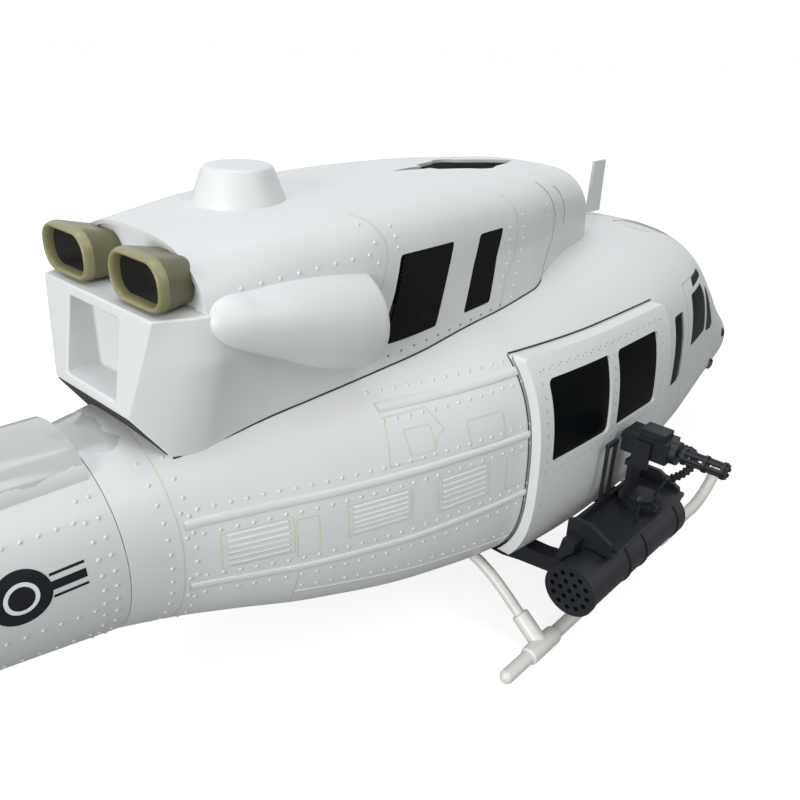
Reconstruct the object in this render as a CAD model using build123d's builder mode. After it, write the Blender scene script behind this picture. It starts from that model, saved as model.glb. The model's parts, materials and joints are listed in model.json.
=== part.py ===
from build123d import *
from math import copysign, cos, pi, sin
import os

os.makedirs("parts", exist_ok=True)

# ---- overall ---------------------------------------------------------------
wall = 1.5
fit_gap = 0.3
pane_gap = 0.15
outline_points = 32

# ---- hull stations: x, bottom, top, half width, widest height, top and bottom exponents
hull_stations = [
    (-47, 65, 147, 39, 108, 2.0, 2.0),
    (-28, 59.5, 149, 43, 107, 2.0, 2.1),
    (-2, 52, 152, 53, 104, 2.0, 2.2),
    (28, 43, 157, 65, 100, 2.2, 2.3),
    (78, 34, 165, 80, 96, 2.4, 2.6),
    (128, 31, 171, 89, 93, 2.8, 2.9),
    (188, 30, 174, 92, 91, 3.1, 3.0),
    (248, 30.5, 175, 92, 90.5, 3.15, 3.0),
    (298, 32, 174, 86.5, 88, 3.1, 2.8),
    (338, 33, 168, 79, 86, 2.9, 2.7),
    (373, 35, 150, 72, 82, 2.5, 2.5),
    (403, 39, 124, 66.5, 79, 2.2, 2.3),
    (423, 43, 108, 62, 76, 2.1, 2.2),
    (438, 48, 99, 54, 75, 2.0, 2.1),
    (453, 55, 92, 40, 74, 2.0, 2.0),
    (464, 64, 83, 20, 74, 2.0, 2.0),
    (468, 69, 79, 9, 74, 2.0, 2.0),
]
boom_stations = [
    (-47 - fit_gap, 65, 147, 39, 108, 2.0, 2.0),
    (-82, 71, 148, 35.5, 111, 2.0, 2.0),
    (-152, 83, 150, 30, 117, 2.0, 2.0),
    (-250, 100, 154, 23.5, 128, 2.0, 2.0),
    (-350, 117, 159, 17, 139, 2.0, 2.0),
    (-424, 129, 163, 11, 147, 2.0, 2.0),
]
# spine stations: x, base height, top height, half width
spine_stations = [(-49, 141, 153, 23), (-250, 151, 163, 15), (-368, 157, 168, 10)]

# ---- upper cowling stations: x, base, top, half width at the base, at the shoulder
cowl_stations = [
    (-4, 140, 218, 32, 45), (32, 146, 219, 40, 48), (65, 151, 220, 47, 52), (100, 154, 220.5, 53, 53),
    (145, 158, 219.5, 57, 52), (167, 159.5, 218.5, 56.5, 50.5), (185, 160, 217.5, 49.5, 47), (203, 161, 216.5, 42, 42.5),
    (219, 163, 215.5, 36, 39), (238, 164, 212.5, 33.5, 34.5), (250, 165, 206, 31.5, 31), (260, 166, 196, 25.5, 25),
    (267, 167, 184, 16, 16), (270, 168, 177, 9, 9),
]

# ---- exhausts --------------------------------------------------------------
pipe_rear = -22
pipe_y = 23
pipe_z = 205
pipe_w = 31
pipe_h = 19

# ---- rotor drive -----------------------------------------------------------
mast_x = 176
mast_r = 4
mast_top = 206
mast_foot = 46
mast_collar = 191
mast_opening_r = 16
mast_opening_front = 218
mast_opening_rear = 139
slit_rear = 125
main_gear_r = 36
pinion_r = 9
gear_z = 82
gear_thick = 6
plate_half_gap = 19
plate_thick = 2
running_gap = 0.06
swash_z = 181
swash_r = 14

# ---- tail ------------------------------------------------------------------
tail_rotor_x = -438
tail_rotor_z = 280
tail_rotor_r = 93
tube_front = (138, 0, 118)
tube_rear = (-404, 0, 146)
fin_top = 312

# ---- landing gear ----------------------------------------------------------
skid_y = 107
skid_tube = 7
skid_rear = 94
skid_straight = 297
skid_tip = (330, 21)
cross_tube = 5.6
cross_x = (126, 262)
tee_d = 9.4
skid_z = tee_d / 2
cross_height = 38
cross_bend = 24

# ---- doors and windows -----------------------------------------------------
door_gap = 1.2
door_thick = 4.7
door_rear = 124.5
door_front = 243.5
door_bottom = 47
door_top = 151
door_travel = 125
door_windows = [(134, 181.5, 101, 141), (188.5, 230.5, 101, 141)]
crew_hinge = (377, 72.6)
shell_seam = 0.4

# ---- stores ----------------------------------------------------------------
pod_r = 13.5
pod_y = 116
pod_z = 42
pod_rear = 129
pod_front = 225
gun_x = 196
gun_y = 114
gun_floor = 62


def save(builder, label):
    builder.part.label = label
    export_step(builder.part, f"parts/{label}.step")


def cross_plane(x):
    return Plane(origin=(x, 0, 0), x_dir=(0, 1, 0), z_dir=(1, 0, 0))


def side_plane(y=0):
    return Plane(origin=(0, y, 0), x_dir=(1, 0, 0), z_dir=(0, -1, 0))


def hull_outline(station, inset):
    """Superellipse section with separate exponents above and below the widest line."""
    x, bottom, top, half, widest, n_top, n_bottom = station
    points = []
    for k in range(outline_points):
        angle = 2 * pi * (k + 0.5) / outline_points
        c, s = cos(angle), sin(angle)
        n = n_top if s > 0 else n_bottom
        rise = (top - inset - widest) if s > 0 else (widest - bottom - inset)
        y = copysign(abs(c) ** (2 / n), c) * (half - inset)
        z = widest + copysign(abs(s) ** (2 / n), s) * rise
        points.append((y, z))
    return points


def hull_solid(stations, inset, shift=0.0, mode=Mode.ADD):
    """Loft through the stations, drawn in by the inset; shift moves the two end sections inward."""
    sections = []
    for k, station in enumerate(stations):
        x = station[0]
        if k == 0:
            x += copysign(shift, stations[-1][0] - x)
        if k == len(stations) - 1:
            x -= copysign(shift, x - stations[0][0])
        with BuildSketch(cross_plane(x)) as section:
            with BuildLine():
                Spline(*hull_outline(station, inset), periodic=True)
            make_face()
        sections.append(section.sketch)
    loft(sections, mode=mode)


def cowl_outline(station, inset):
    """Flat-sided section with a broad rounded top, open shape closed along its base."""
    x, base, top, half_base, half_shoulder = station
    half_base, half_shoulder, top = half_base - inset, half_shoulder - inset, top - inset
    rise = top - base
    points = []
    for k in range(13):
        angle = pi * k / 12
        c, s = cos(angle), sin(angle)
        y = copysign(abs(c) ** (2 / 5.0), c) * half_shoulder
        points.append((y, base + 0.5 * rise + s ** (2 / 3.4) * 0.5 * rise))
    return half_base, base, points


def cowl_solid(inset, front_shift=0.0, rear_shift=0.0, drop=0.0, mode=Mode.ADD):
    sections = []
    for k, station in enumerate(cowl_stations):
        x = station[0]
        if k == 0:
            x += rear_shift
        if k == len(cowl_stations) - 1:
            x -= front_shift
        half_base, base, points = cowl_outline(station, inset)
        with BuildSketch(cross_plane(x)) as section:
            with BuildLine():
                Spline(*points)
                Polyline(points[-1], (-half_base, base - drop), (half_base, base - drop), points[0])
            make_face()
        sections.append(section.sketch)
    loft(sections, mode=mode)


def side_prism(points, y0, y1, mode=Mode.ADD):
    """Side-view outline extruded across the machine between two values of y."""
    with BuildSketch(side_plane(y0)) as outline:
        with BuildLine():
            Polyline(*points, close=True)
        make_face()
    extrude(outline.sketch, amount=y0 - y1, mode=mode)


def side_window(x0, x1, z0, z1, corner, y0, y1, mode=Mode.ADD, grow=0.0):
    """Rounded rectangle seen from the side, extruded between two values of y."""
    with BuildSketch(side_plane(y0)) as outline:
        with Locations(((x0 + x1) / 2, (z0 + z1) / 2)):
            RectangleRounded(x1 - x0 + 2 * grow, z1 - z0 + 2 * grow, corner)
    extrude(outline.sketch, amount=y0 - y1, mode=mode)


def slab(x0, x1, y0, y1, z0, z1, mode=Mode.ADD):
    with Locations(((x0 + x1) / 2, (y0 + y1) / 2, (z0 + z1) / 2)):
        Box(x1 - x0, y1 - y0, z1 - z0, mode=mode)


def rod(start, end, radius, mode=Mode.ADD):
    """Round bar between two points."""
    start, end = Vector(*start), Vector(*end)
    with BuildSketch(Plane(origin=start, z_dir=end - start)) as section:
        Circle(radius)
    extrude(section.sketch, amount=(end - start).length, mode=mode)


# crew door outline and window outlines in side view
crew_outline = [(289, 46), (289, 149), (334, 149), (372, 100), (375, 92), (375, 50), (372, 46)]
crew_window = [(298, 107), (299, 143), (325, 143), (333, 131), (333, 109)]
quarter_window = [(337, 110), (337, 129), (343, 127), (360, 107), (358, 104)]
post_window = (265.5, 280.5, 96, 137)
roof_window = (300, 344, 19, 43)
windscreen_outline = [(4, 117), (4, 160), (46, 156), (55, 140), (59, 122), (50, 116)]
chin_outline = [(14, 50), (14, 63), (40, 67), (47, 60), (40, 53)]


def mirrored_y(points, side):
    return [(side * y, z) for y, z in points]


def shell_openings(mode, grow=0.0):
    """Fixed window holes of the hull: post, roof, windscreen and chin panes on both sides."""
    x0, x1, z0, z1 = post_window
    for side in (-1, 1):
        y0, y1 = sorted((side * 60, side * 120))
        side_window(x0, x1, z0, z1, 2, y1, y0, mode, grow)
        with BuildSketch(Plane.XY.offset(120)) as roof_pane:
            with Locations(((roof_window[0] + roof_window[1]) / 2, side * (roof_window[2] + roof_window[3]) / 2)):
                RectangleRounded(
                    roof_window[1] - roof_window[0] + 2 * grow,
                    roof_window[3] - roof_window[2] + 2 * grow,
                    6,
                )
        extrude(roof_pane.sketch, amount=80, mode=mode)
        for outline, start in ((windscreen_outline, 346), (chin_outline, 395)):
            with BuildSketch(cross_plane(start)) as front_pane:
                with BuildLine():
                    Polyline(*mirrored_y(outline, side), close=True)
                make_face()
                if grow:
                    offset(amount=grow)
            extrude(front_pane.sketch, amount=140, mode=mode)


def cross_tube_points(x):
    """Corners of one cross tube, from the left skid over to the right skid."""
    foot, knee = 104.6, 87
    return [(x, foot, 9.4), (x, knee, cross_height), (x, -knee, cross_height), (x, -foot, 9.4)]


def tube_point(distance):
    """Point on the tail drive line, measured back from its front end."""
    front, rear = Vector(*tube_front), Vector(*tube_rear)
    return tuple(front + (rear - front).normalized() * distance)


# ---- hull ------------------------------------------------------------------
with BuildPart() as cabin_shell:
    hull_solid(hull_stations, 0)
    hull_solid(hull_stations, wall, wall + 0.5, mode=Mode.SUBTRACT)
    # open rear end where the tail boom joins, leaving a joint ring
    with BuildSketch(cross_plane(hull_stations[0][0] - 1)):
        with Locations((0, 106)):
            Ellipse(33, 35)
    extrude(amount=8, mode=Mode.SUBTRACT)
    shell_openings(Mode.SUBTRACT, pane_gap)
    # apertures behind the sliding doors, 6 mm smaller all round than the doors
    for side in (-1, 1):
        side_window(
            door_rear + 8, door_front - 8, door_bottom + 8, door_top - 8, 6,
            max(side * 60, side * 130), min(side * 60, side * 130), Mode.SUBTRACT,
        )
        side_prism(crew_outline, max(side * 45, side * 130), min(side * 45, side * 130), Mode.SUBTRACT)
    # roof opening below the cowling for the rotor mast and the cooling air
    with BuildSketch(Plane.XY.offset(120)):
        with Locations((mast_x - 16, 0)):
            RectangleRounded(120, 56, 10)
    extrude(amount=80, mode=Mode.SUBTRACT)
    # passages for the landing gear tubes
    for x in cross_x:
        for side in (-1, 1):
            y0, y1 = sorted((side * 40, side * 92))
            slab(x - cross_tube / 2 - 0.4, x + cross_tube / 2 + 0.4, y0, y1, 27, cross_height + 5, Mode.SUBTRACT)
save(cabin_shell, "cabin_shell")

with BuildPart() as tail_boom:
    hull_solid(boom_stations, 0)
    hull_solid(boom_stations, wall, wall, mode=Mode.SUBTRACT)
    with BuildSketch(cross_plane(boom_stations[0][0] - 8)):
        with Locations((0, 106)):
            Ellipse(32, 34)
    extrude(amount=12, mode=Mode.SUBTRACT)
    # stabiliser spar passage
    with Locations((-283, 0, 134)):
        Cylinder(2.6, 80, rotation=(90, 0, 0), mode=Mode.SUBTRACT)
    # rear mouth for the tail drive housing and the fin
    slab(-418, -396, -5, 5, 150, 175, Mode.SUBTRACT)
save(tail_boom, "tail_boom")

with BuildPart() as spine_cover:
    for x, base, top, half in spine_stations:
        with BuildSketch(cross_plane(x)):
            with BuildLine():
                Spline(*[(half * cos(pi * k / 12), base + (top - base) * sin(pi * k / 12)) for k in range(13)])
                Line((-half, base), (half, base))
            make_face()
    loft()
    hull_solid(boom_stations, -0.5, 0, mode=Mode.SUBTRACT)
    slab(boom_stations[0][0] - 2, -40, -40, 40, 130, 160, Mode.SUBTRACT)
save(spine_cover, "spine_cover")

# ---- fin, stabiliser, tail skid -------------------------------------------
fin_outline = [
    (-372, 166), (-398, 190), (-423, 286), (-434, 306), (-444, fin_top), (-459, fin_top), (-467, 300),
    (-452, 250), (-434, 180), (-428, 152), (-424, 126), (-412, 121), (-409.6, 132),
]
with BuildPart() as tail_fin:
    with BuildSketch(side_plane(4.5)):
        with BuildLine():
            Polyline(*fin_outline, close=True)
        make_face()
    extrude(amount=9)
    fillet(tail_fin.edges().filter_by(Axis.Y).group_by(Axis.Z)[-1], 4)
    # the boom end sits inside a socket; shaft channel and gearbox pocket above it
    hull_solid(boom_stations, -fit_gap, -fit_gap, mode=Mode.SUBTRACT)
    hull_solid([(s[0], s[1], s[2] + 0.6, s[3], s[4], 2, 2) for s in boom_stations], -fit_gap, 0, mode=Mode.SUBTRACT)
    rod((-404, 0, 146), (tail_rotor_x, 0, tail_rotor_z), 3.2, Mode.SUBTRACT)
    with Locations((tail_rotor_x, 0, tail_rotor_z)):
        Cylinder(7, 20, rotation=(90, 0, 0), mode=Mode.SUBTRACT)
save(tail_fin, "tail_fin")

with BuildPart() as stabiliser:
    for side in (-1, 1):
        with BuildSketch(Plane(origin=(0, side * 26.5, 0), x_dir=(1, 0, 0), z_dir=(0, side, 0))):
            with Locations((-283, -134 * side)):
                Ellipse(21, 3.6)
        with BuildSketch(Plane(origin=(0, side * 100, 0), x_dir=(1, 0, 0), z_dir=(0, side, 0))):
            with Locations((-289, -134 * side)):
                Ellipse(15, 2.4)
        loft()
    with Locations((-283, 0, 134)):
        Cylinder(2.3, 60, rotation=(90, 0, 0))
save(stabiliser, "stabiliser")

with BuildPart() as tail_skid:
    with BuildLine() as skid_line:
        Line((-412, 0, 119), (-424, 0, 106))
        Line((-424, 0, 106), (-452, 0, 100))
    with BuildSketch(Plane(origin=(-412, 0, 119), z_dir=(-12, 0, -13))):
        Circle(1.6)
    sweep(path=skid_line.line, transition=Transition.ROUND)
    with Locations((-412, 0, 119.2)):
        Cylinder(3.2, 3)
save(tail_skid, "tail_skid")

# ---- upper cowling ---------------------------------------------------------
mesh_frames = [
    [(76, 201), (106.5, 201), (96.5, 166), (67.5, 164)],
    [(124, 201), (142, 201), (132, 169), (113.5, 167.5)],
]
with BuildPart() as engine_cowl:
    cowl_solid(0)
    cowl_solid(wall, 2.0, wall, 6, mode=Mode.SUBTRACT)
    hull_solid(hull_stations, -fit_gap, 0, mode=Mode.SUBTRACT)
    for frame in mesh_frames:
        side_prism(frame, 90, -90, Mode.SUBTRACT)
    # keyhole for the rotor mast: long pointed front, stepped slit behind
    with BuildSketch(Plane.XY.offset(195)):
        with BuildLine():
            Line((mast_opening_front, 0), (mast_x + 18, 12))
            ThreePointArc((mast_x + 18, 12), (mast_x, mast_opening_r), (mast_x - 16, 12))
            Polyline(
                (mast_x - 16, 12), (mast_opening_rear + 8, 7), (mast_opening_rear + 8, 3), (mast_opening_rear, 3),
                (slit_rear, 0),
            )
            Line((slit_rear, 0), (mast_opening_front, 0))
        make_face()
        mirror(about=Plane.XZ)
    extrude(amount=60, mode=Mode.SUBTRACT)
    # two seats for the exhaust pipes in the rear wall
    for side in (-1, 1):
        with BuildSketch(cross_plane(cowl_stations[0][0] - 3)):
            with Locations((side * pipe_y, pipe_z)):
                RectangleRounded(pipe_w + 0.3, pipe_h + 0.3, 7.6)
        extrude(amount=7, mode=Mode.SUBTRACT)
save(engine_cowl, "engine_cowl")

with BuildPart() as exhaust_box:
    with BuildSketch(cross_plane(cowl_stations[0][0] - 0.2)):
        with BuildLine():
            Polyline((-39, 194.4), (39, 194.4), (32, 138), (-32, 138), close=True)
        make_face()
    with BuildSketch(cross_plane(-34)):
        with BuildLine():
            Polyline((-36, 194.4), (36, 194.4), (25, 159), (-25, 159), close=True)
        make_face()
    loft()
    side_prism([(-40, 150), (-33.6, 157), (-27, 194.4), (-27, 200), (-40, 200)], 50, -50, Mode.SUBTRACT)
    slab(-45, -18, -17, 17, 162, 190, Mode.SUBTRACT)
    hull_solid(hull_stations, -fit_gap, 0, mode=Mode.SUBTRACT)
    slab(-40, 0, -60, 60, pipe_z - pipe_h / 2 - 0.6, 230, Mode.SUBTRACT)
save(exhaust_box, "exhaust_box")

for side, name in ((-1, "right"), (1, "left")):
    with BuildPart() as pipe:
        with BuildSketch(cross_plane(pipe_rear)):
            with Locations((side * pipe_y, pipe_z)):
                RectangleRounded(pipe_w + 0.8, pipe_h + 0.8, 8.5)
                RectangleRounded(pipe_w - 7, pipe_h - 7, 5.5, mode=Mode.SUBTRACT)
        extrude(amount=4)
        with BuildSketch(cross_plane(pipe_rear + 4)):
            with Locations((side * pipe_y, pipe_z)):
                RectangleRounded(pipe_w, pipe_h, 7.5)
                RectangleRounded(pipe_w - 4, pipe_h - 4, 5.5, mode=Mode.SUBTRACT)
        extrude(amount=cowl_stations[0][0] + 4 - pipe_rear - 4)
    save(pipe, f"exhaust_pipe_{name}")

with BuildPart() as dome:
    with Locations((37, 0, 215)):
        Cone(18.8, 13.5, 17, align=(Align.CENTER, Align.CENTER, Align.MIN))
    fillet(dome.edges().sort_by(Axis.Z)[-1], 2)
    cowl_solid(-fit_gap, mode=Mode.SUBTRACT)
save(dome, "intake_dome")

# x, half height, reach from the centre line, height of the middle
fairing_sections = [
    (-5, 4, 47.5, 189.7), (0, 8.5, 51, 189), (20, 15, 58, 186), (40, 19.5, 62, 180), (56, 21, 63, 177), (61, 18, 60, 176),
]
for side, name in ((-1, "right"), (1, "left")):
    with BuildPart() as fairing:
        for x, half_height, reach, z in fairing_sections:
            with BuildSketch(cross_plane(x)):
                with Locations((side * (reach - 12), z)):
                    Ellipse(12, half_height)
        loft()
        cowl_solid(-0.5, -3, -3, mode=Mode.SUBTRACT)
        slab(-20, -3.7, -80, 80, 150, 220, Mode.SUBTRACT)
        hull_solid(hull_stations, -fit_gap, 0, mode=Mode.SUBTRACT)
    save(fairing, f"side_fairing_{name}")

with BuildPart() as mesh_screens:
    cowl_solid(0.3, 1, 0.3)
    cowl_solid(1.2, 2, 1.2, 6, mode=Mode.SUBTRACT)
    with BuildSketch(side_plane(90)):
        for frame in mesh_frames:
            with BuildLine():
                Polyline(*frame, close=True)
            make_face()
        offset(amount=-pane_gap, kind=Kind.INTERSECTION)
    extrude(amount=180, mode=Mode.INTERSECT)
save(mesh_screens, "mesh_screens")

with BuildPart() as roof_antenna:
    with BuildSketch(side_plane(0.9)):
        with BuildLine():
            Polyline((306, 174.6), (307.6, 206), (320.6, 206), (321, 174.2), close=True)
        make_face()
    extrude(amount=1.8)
    hull_solid(hull_stations, -0.15, 0, mode=Mode.SUBTRACT)
save(roof_antenna, "roof_antenna")

# ---- glazing of the hull ---------------------------------------------------
with BuildPart() as fixed_glazing:
    shell_openings(Mode.ADD)
    hull_solid(hull_stations, 0.3, 1, mode=Mode.INTERSECT)
    hull_solid(hull_stations, 1.3, 2, mode=Mode.SUBTRACT)
save(fixed_glazing, "fixed_glazing")

# ---- doors -----------------------------------------------------------------
for side, name in ((-1, "right"), (1, "left")):
    near, far = max(side * 50, side * 130), min(side * 50, side * 130)
    with BuildPart() as slide_door:
        side_window(door_rear, door_front, door_bottom, door_top, 6, near, far)
        hull_solid(hull_stations, -door_gap - door_thick, 0, mode=Mode.INTERSECT)
        hull_solid(hull_stations, -door_gap, 2, mode=Mode.SUBTRACT)
        for x0, x1, z0, z1 in door_windows:
            side_window(x0, x1, z0, z1, 3, near, far, Mode.SUBTRACT)
    save(slide_door, f"slide_door_{name}")
    with BuildPart() as slide_glass:
        for x0, x1, z0, z1 in door_windows:
            side_window(x0, x1, z0, z1, 3, near, far, grow=-pane_gap)
        hull_solid(hull_stations, -door_gap - 3.2, 0, mode=Mode.INTERSECT)
        hull_solid(hull_stations, -door_gap - 2.0, 2, mode=Mode.SUBTRACT)
    save(slide_glass, f"slide_glass_{name}")
    with BuildPart() as crew_door:
        with BuildSketch(side_plane(near)):
            with BuildLine():
                Polyline(*crew_outline, close=True)
            make_face()
            offset(amount=-shell_seam, kind=Kind.INTERSECTION)
        extrude(amount=near - far)
        hull_solid(hull_stations, 0, 0, mode=Mode.INTERSECT)
        hull_solid(hull_stations, wall, 2, mode=Mode.SUBTRACT)
        for outline in (crew_window, quarter_window):
            side_prism(outline, near, far, Mode.SUBTRACT)
    save(crew_door, f"crew_door_{name}")
    with BuildPart() as crew_glass:
        with BuildSketch(side_plane(near)):
            for outline in (crew_window, quarter_window):
                with BuildLine():
                    Polyline(*outline, close=True)
                make_face()
            offset(amount=-pane_gap, kind=Kind.INTERSECTION)
        extrude(amount=near - far)
        hull_solid(hull_stations, 0.3, 1, mode=Mode.INTERSECT)
        hull_solid(hull_stations, 1.3, 2, mode=Mode.SUBTRACT)
    save(crew_glass, f"crew_glass_{name}")

# ---- landing gear ----------------------------------------------------------
with BuildPart() as cross_tubes:
    for x in cross_x:
        with BuildLine() as tube_line:
            FilletPolyline(*cross_tube_points(x), radius=cross_bend)
        with BuildSketch(Plane(origin=tube_line.line @ 0, z_dir=tube_line.line % 0)):
            Circle(cross_tube / 2)
        sweep(path=tube_line.line)
save(cross_tubes, "cross_tubes")

for side, name in ((-1, "right"), (1, "left")):
    with BuildPart() as skid:
        with BuildLine() as skid_line:
            Line((skid_rear + 3, side * skid_y, skid_z), (skid_straight, side * skid_y, skid_z))
            TangentArc(
                (skid_straight, side * skid_y, skid_z), (skid_tip[0], side * skid_y, skid_tip[1]), tangent=(1, 0, 0),
            )
        with BuildSketch(Plane(origin=(skid_rear + 3, side * skid_y, skid_z), z_dir=(1, 0, 0))):
            Circle(skid_tube / 2)
        sweep(path=skid_line.line)
        with Locations((skid_rear + 3, side * skid_y, skid_z)):
            Sphere(skid_tube / 2)
        with Locations((skid_tip[0], side * skid_y, skid_tip[1])):
            Sphere(skid_tube / 2)
    save(skid, f"skid_{name}")

with BuildPart() as skid_tees:
    for x in cross_x:
        for side in (-1, 1):
            foot, knee = cross_tube_points(x)[0], cross_tube_points(x)[1]
            direction = Vector(0, knee[1] - foot[1], knee[2] - foot[2]).normalized()
            start = Vector(x, foot[1] * side, foot[2])
            heading = Vector(0, direction.Y * side, direction.Z)
            with Locations((x, side * skid_y, skid_z)):
                Cylinder(tee_d / 2, 18, rotation=(0, 90, 0))
            rod(tuple(start - heading * 2), tuple(start + heading * 11), tee_d / 2 - 0.4)
            rod(tuple(start - heading * 0.4), tuple(start + heading * 12), cross_tube / 2 + 0.1, Mode.SUBTRACT)
            with Locations((x, side * skid_y, skid_z)):
                Cylinder(skid_tube / 2 + 0.1, 30, rotation=(0, 90, 0), mode=Mode.SUBTRACT)
save(skid_tees, "skid_tees")

# ---- frame inside the hull -------------------------------------------------
floor_z = cross_height + cross_tube / 2 + fit_gap
floor_thick = 2
deck = floor_z + floor_thick
floor_edge = [(80, 46), (109, 56), (300, 58), (342, 50.5)]
with BuildPart() as floor_plate:
    with BuildSketch(Plane.XY.offset(floor_z)):
        with BuildLine():
            Polyline(*floor_edge, *[(x, -y) for x, y in reversed(floor_edge)], close=True)
        make_face()
    extrude(amount=floor_thick)
    slab(205, 330, -8, 8, floor_z, deck, Mode.SUBTRACT)
save(floor_plate, "floor_plate")

with BuildPart() as frame_plates:
    for side in (-1, 1):
        y0, y1 = sorted((side * plate_half_gap, side * (plate_half_gap + plate_thick)))
        slab(124, 216, y0, y1, deck, 178)
        slab(mast_x - main_gear_r - 1, mast_x + main_gear_r + 1, y0, y1, gear_z - 5, gear_z + 5, Mode.SUBTRACT)
        slab(140, 164, y0, y1, 102, 128, Mode.SUBTRACT)
        slab(188, 206, y0, y1, 104, 130, Mode.SUBTRACT)
save(frame_plates, "frame_plates")

with BuildPart() as frame_blocks:
    for z in (52, 96, 168):
        slab(mast_x - 12, mast_x + 12, -plate_half_gap, plate_half_gap, z - 5, z + 5)
        with Locations((mast_x, 0, z)):
            Cylinder(mast_r + running_gap, 12, mode=Mode.SUBTRACT)
    # motor plate
    slab(204, 242, -plate_half_gap, plate_half_gap, 90, 93)
    with Locations((mast_x + main_gear_r + pinion_r + 0.4, 0, 91)):
        Cylinder(2.6, 10, mode=Mode.SUBTRACT)
    # tail drive housing
    slab(122, 140, -12, 12, 106, 130)
    slab(126, 136, -plate_half_gap, -12, 112, 122)
    slab(126, 136, 12, plate_half_gap, 112, 122)
    with Locations((mast_x - main_gear_r - pinion_r - 0.4, 0, 104)):
        Cylinder(2.5 + running_gap, 16, mode=Mode.SUBTRACT)
    rod(tube_point(-4), tube_point(20), 3 + running_gap, Mode.SUBTRACT)
save(frame_blocks, "frame_blocks")

# ---- drive -----------------------------------------------------------------
with BuildPart() as main_shaft:
    with Locations((mast_x, 0, mast_foot)):
        Cylinder(mast_r, mast_top - mast_foot, align=(Align.CENTER, Align.CENTER, Align.MIN))
    chamfer(main_shaft.edges().group_by(Axis.Z)[-1], 0.6)
    with Locations((mast_x, 0, gear_z)):
        Cylinder(9, 16)
    # lock collar that the rotor head rests on
    with Locations((mast_x, 0, mast_collar)):
        Cylinder(mast_r + 3, 2, align=(Align.CENTER, Align.CENTER, Align.MAX))
    with Locations((mast_x, 0, mast_top - 7)):
        Cylinder(1.2, 10, rotation=(90, 0, 0), mode=Mode.SUBTRACT)
save(main_shaft, "main_shaft")

with BuildPart() as main_gear:
    with Locations((mast_x, 0, gear_z)):
        Cylinder(main_gear_r, gear_thick)
        Cylinder(9 + 0.02, gear_thick + 2, mode=Mode.SUBTRACT)
        with PolarLocations(20, 6):
            Cylinder(6, gear_thick + 2, mode=Mode.SUBTRACT)
save(main_gear, "main_gear")

with BuildPart() as motor_pinion:
    with Locations((mast_x + main_gear_r + pinion_r + 0.4, 0, gear_z)):
        Cylinder(pinion_r, gear_thick)
        Cylinder(2.5, 11, align=(Align.CENTER, Align.CENTER, Align.MIN))
save(motor_pinion, "motor_pinion")

with BuildPart() as motor:
    with Locations((mast_x + main_gear_r + pinion_r + 0.4, 0, 94.2)):
        Cylinder(17, 30, align=(Align.CENTER, Align.CENTER, Align.MIN))
    fillet(motor.edges().group_by(Axis.Z)[-1], 2)
    slab(208, 236, -8, 8, 93.1, 94.4)
save(motor, "motor")

with BuildPart() as tail_pinion:
    with Locations((mast_x - main_gear_r - pinion_r - 0.4, 0, gear_z)):
        Cylinder(pinion_r, gear_thick)
        Cylinder(2.5, 27, align=(Align.CENTER, Align.CENTER, Align.MIN))
save(tail_pinion, "tail_pinion")

with BuildPart() as swashplate:
    with Locations((mast_x, 0, swash_z)):
        Cylinder(swash_r, 3)
        Cylinder(7, 7)
        Cylinder(mast_r + running_gap, 10, mode=Mode.SUBTRACT)
        with PolarLocations(swash_r, 3):
            Sphere(2)
save(swashplate, "swashplate")

servo_spots = [(150, -1, 146), (150, 1, 146), (202, -1, 146)]
with BuildPart() as servos:
    for x, side, z in servo_spots:
        y0, y1 = sorted((side * (plate_half_gap + plate_thick), side * (plate_half_gap + plate_thick + 11)))
        slab(x - 12, x + 12, y0, y1, z - 10, z + 10)
save(servos, "servos")

for k, (x, side, z) in enumerate(servo_spots):
    with BuildPart() as servo_arm:
        y0 = side * (plate_half_gap + plate_thick + 11 + fit_gap)
        with BuildSketch(side_plane(max(y0, y0 + side * 2))):
            SlotCenterPoint((x + 6, z), (x + 12, z), 5)
            with Locations((x + 6, z)):
                Circle(1, mode=Mode.SUBTRACT)
        extrude(amount=2)
    save(servo_arm, f"servo_arm_{k + 1}")

with BuildPart() as battery:
    slab(246, 336, -21, 21, deck, deck + 32)
    fillet(battery.edges().filter_by(Axis.X), 2)
save(battery, "battery")

with BuildPart() as electronics:
    slab(70, 112, -16, 16, deck, deck + 10)
    slab(70, 104, 22, 42, deck, deck + 14)
save(electronics, "electronics")

# ---- tail drive ------------------------------------------------------------
former_x = (20, -150, -300)
with BuildPart() as tube_formers:
    for x in former_x:
        slab(x - 2, x + 2, -80, 80, 40, 170)
    hull_solid(hull_stations[:5], wall + 0.1, 2, mode=Mode.INTERSECT)
    with BuildPart(mode=Mode.PRIVATE) as boom_formers:
        for x in former_x[1:]:
            slab(x - 2, x + 2, -80, 80, 40, 170)
        hull_solid(boom_stations, wall + 0.1, 2, mode=Mode.INTERSECT)
    add(boom_formers.part)
    rod(tube_point(-10), tube_point(560), 3 + running_gap, Mode.SUBTRACT)
    slab(10, 30, -30, 30, 60, 92, Mode.SUBTRACT)
save(tube_formers, "tube_formers")

with BuildPart() as torque_tube:
    rod(tube_point(0), tube_point(528), 3)
save(torque_tube, "torque_tube")

fin_axis = Vector(tail_rotor_x - tube_rear[0], 0, tail_rotor_z - tube_rear[2])
fin_reach = fin_axis.length
fin_axis = fin_axis.normalized()


def fin_point(distance):
    return tuple(Vector(*tube_rear) + fin_axis * distance)


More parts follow.
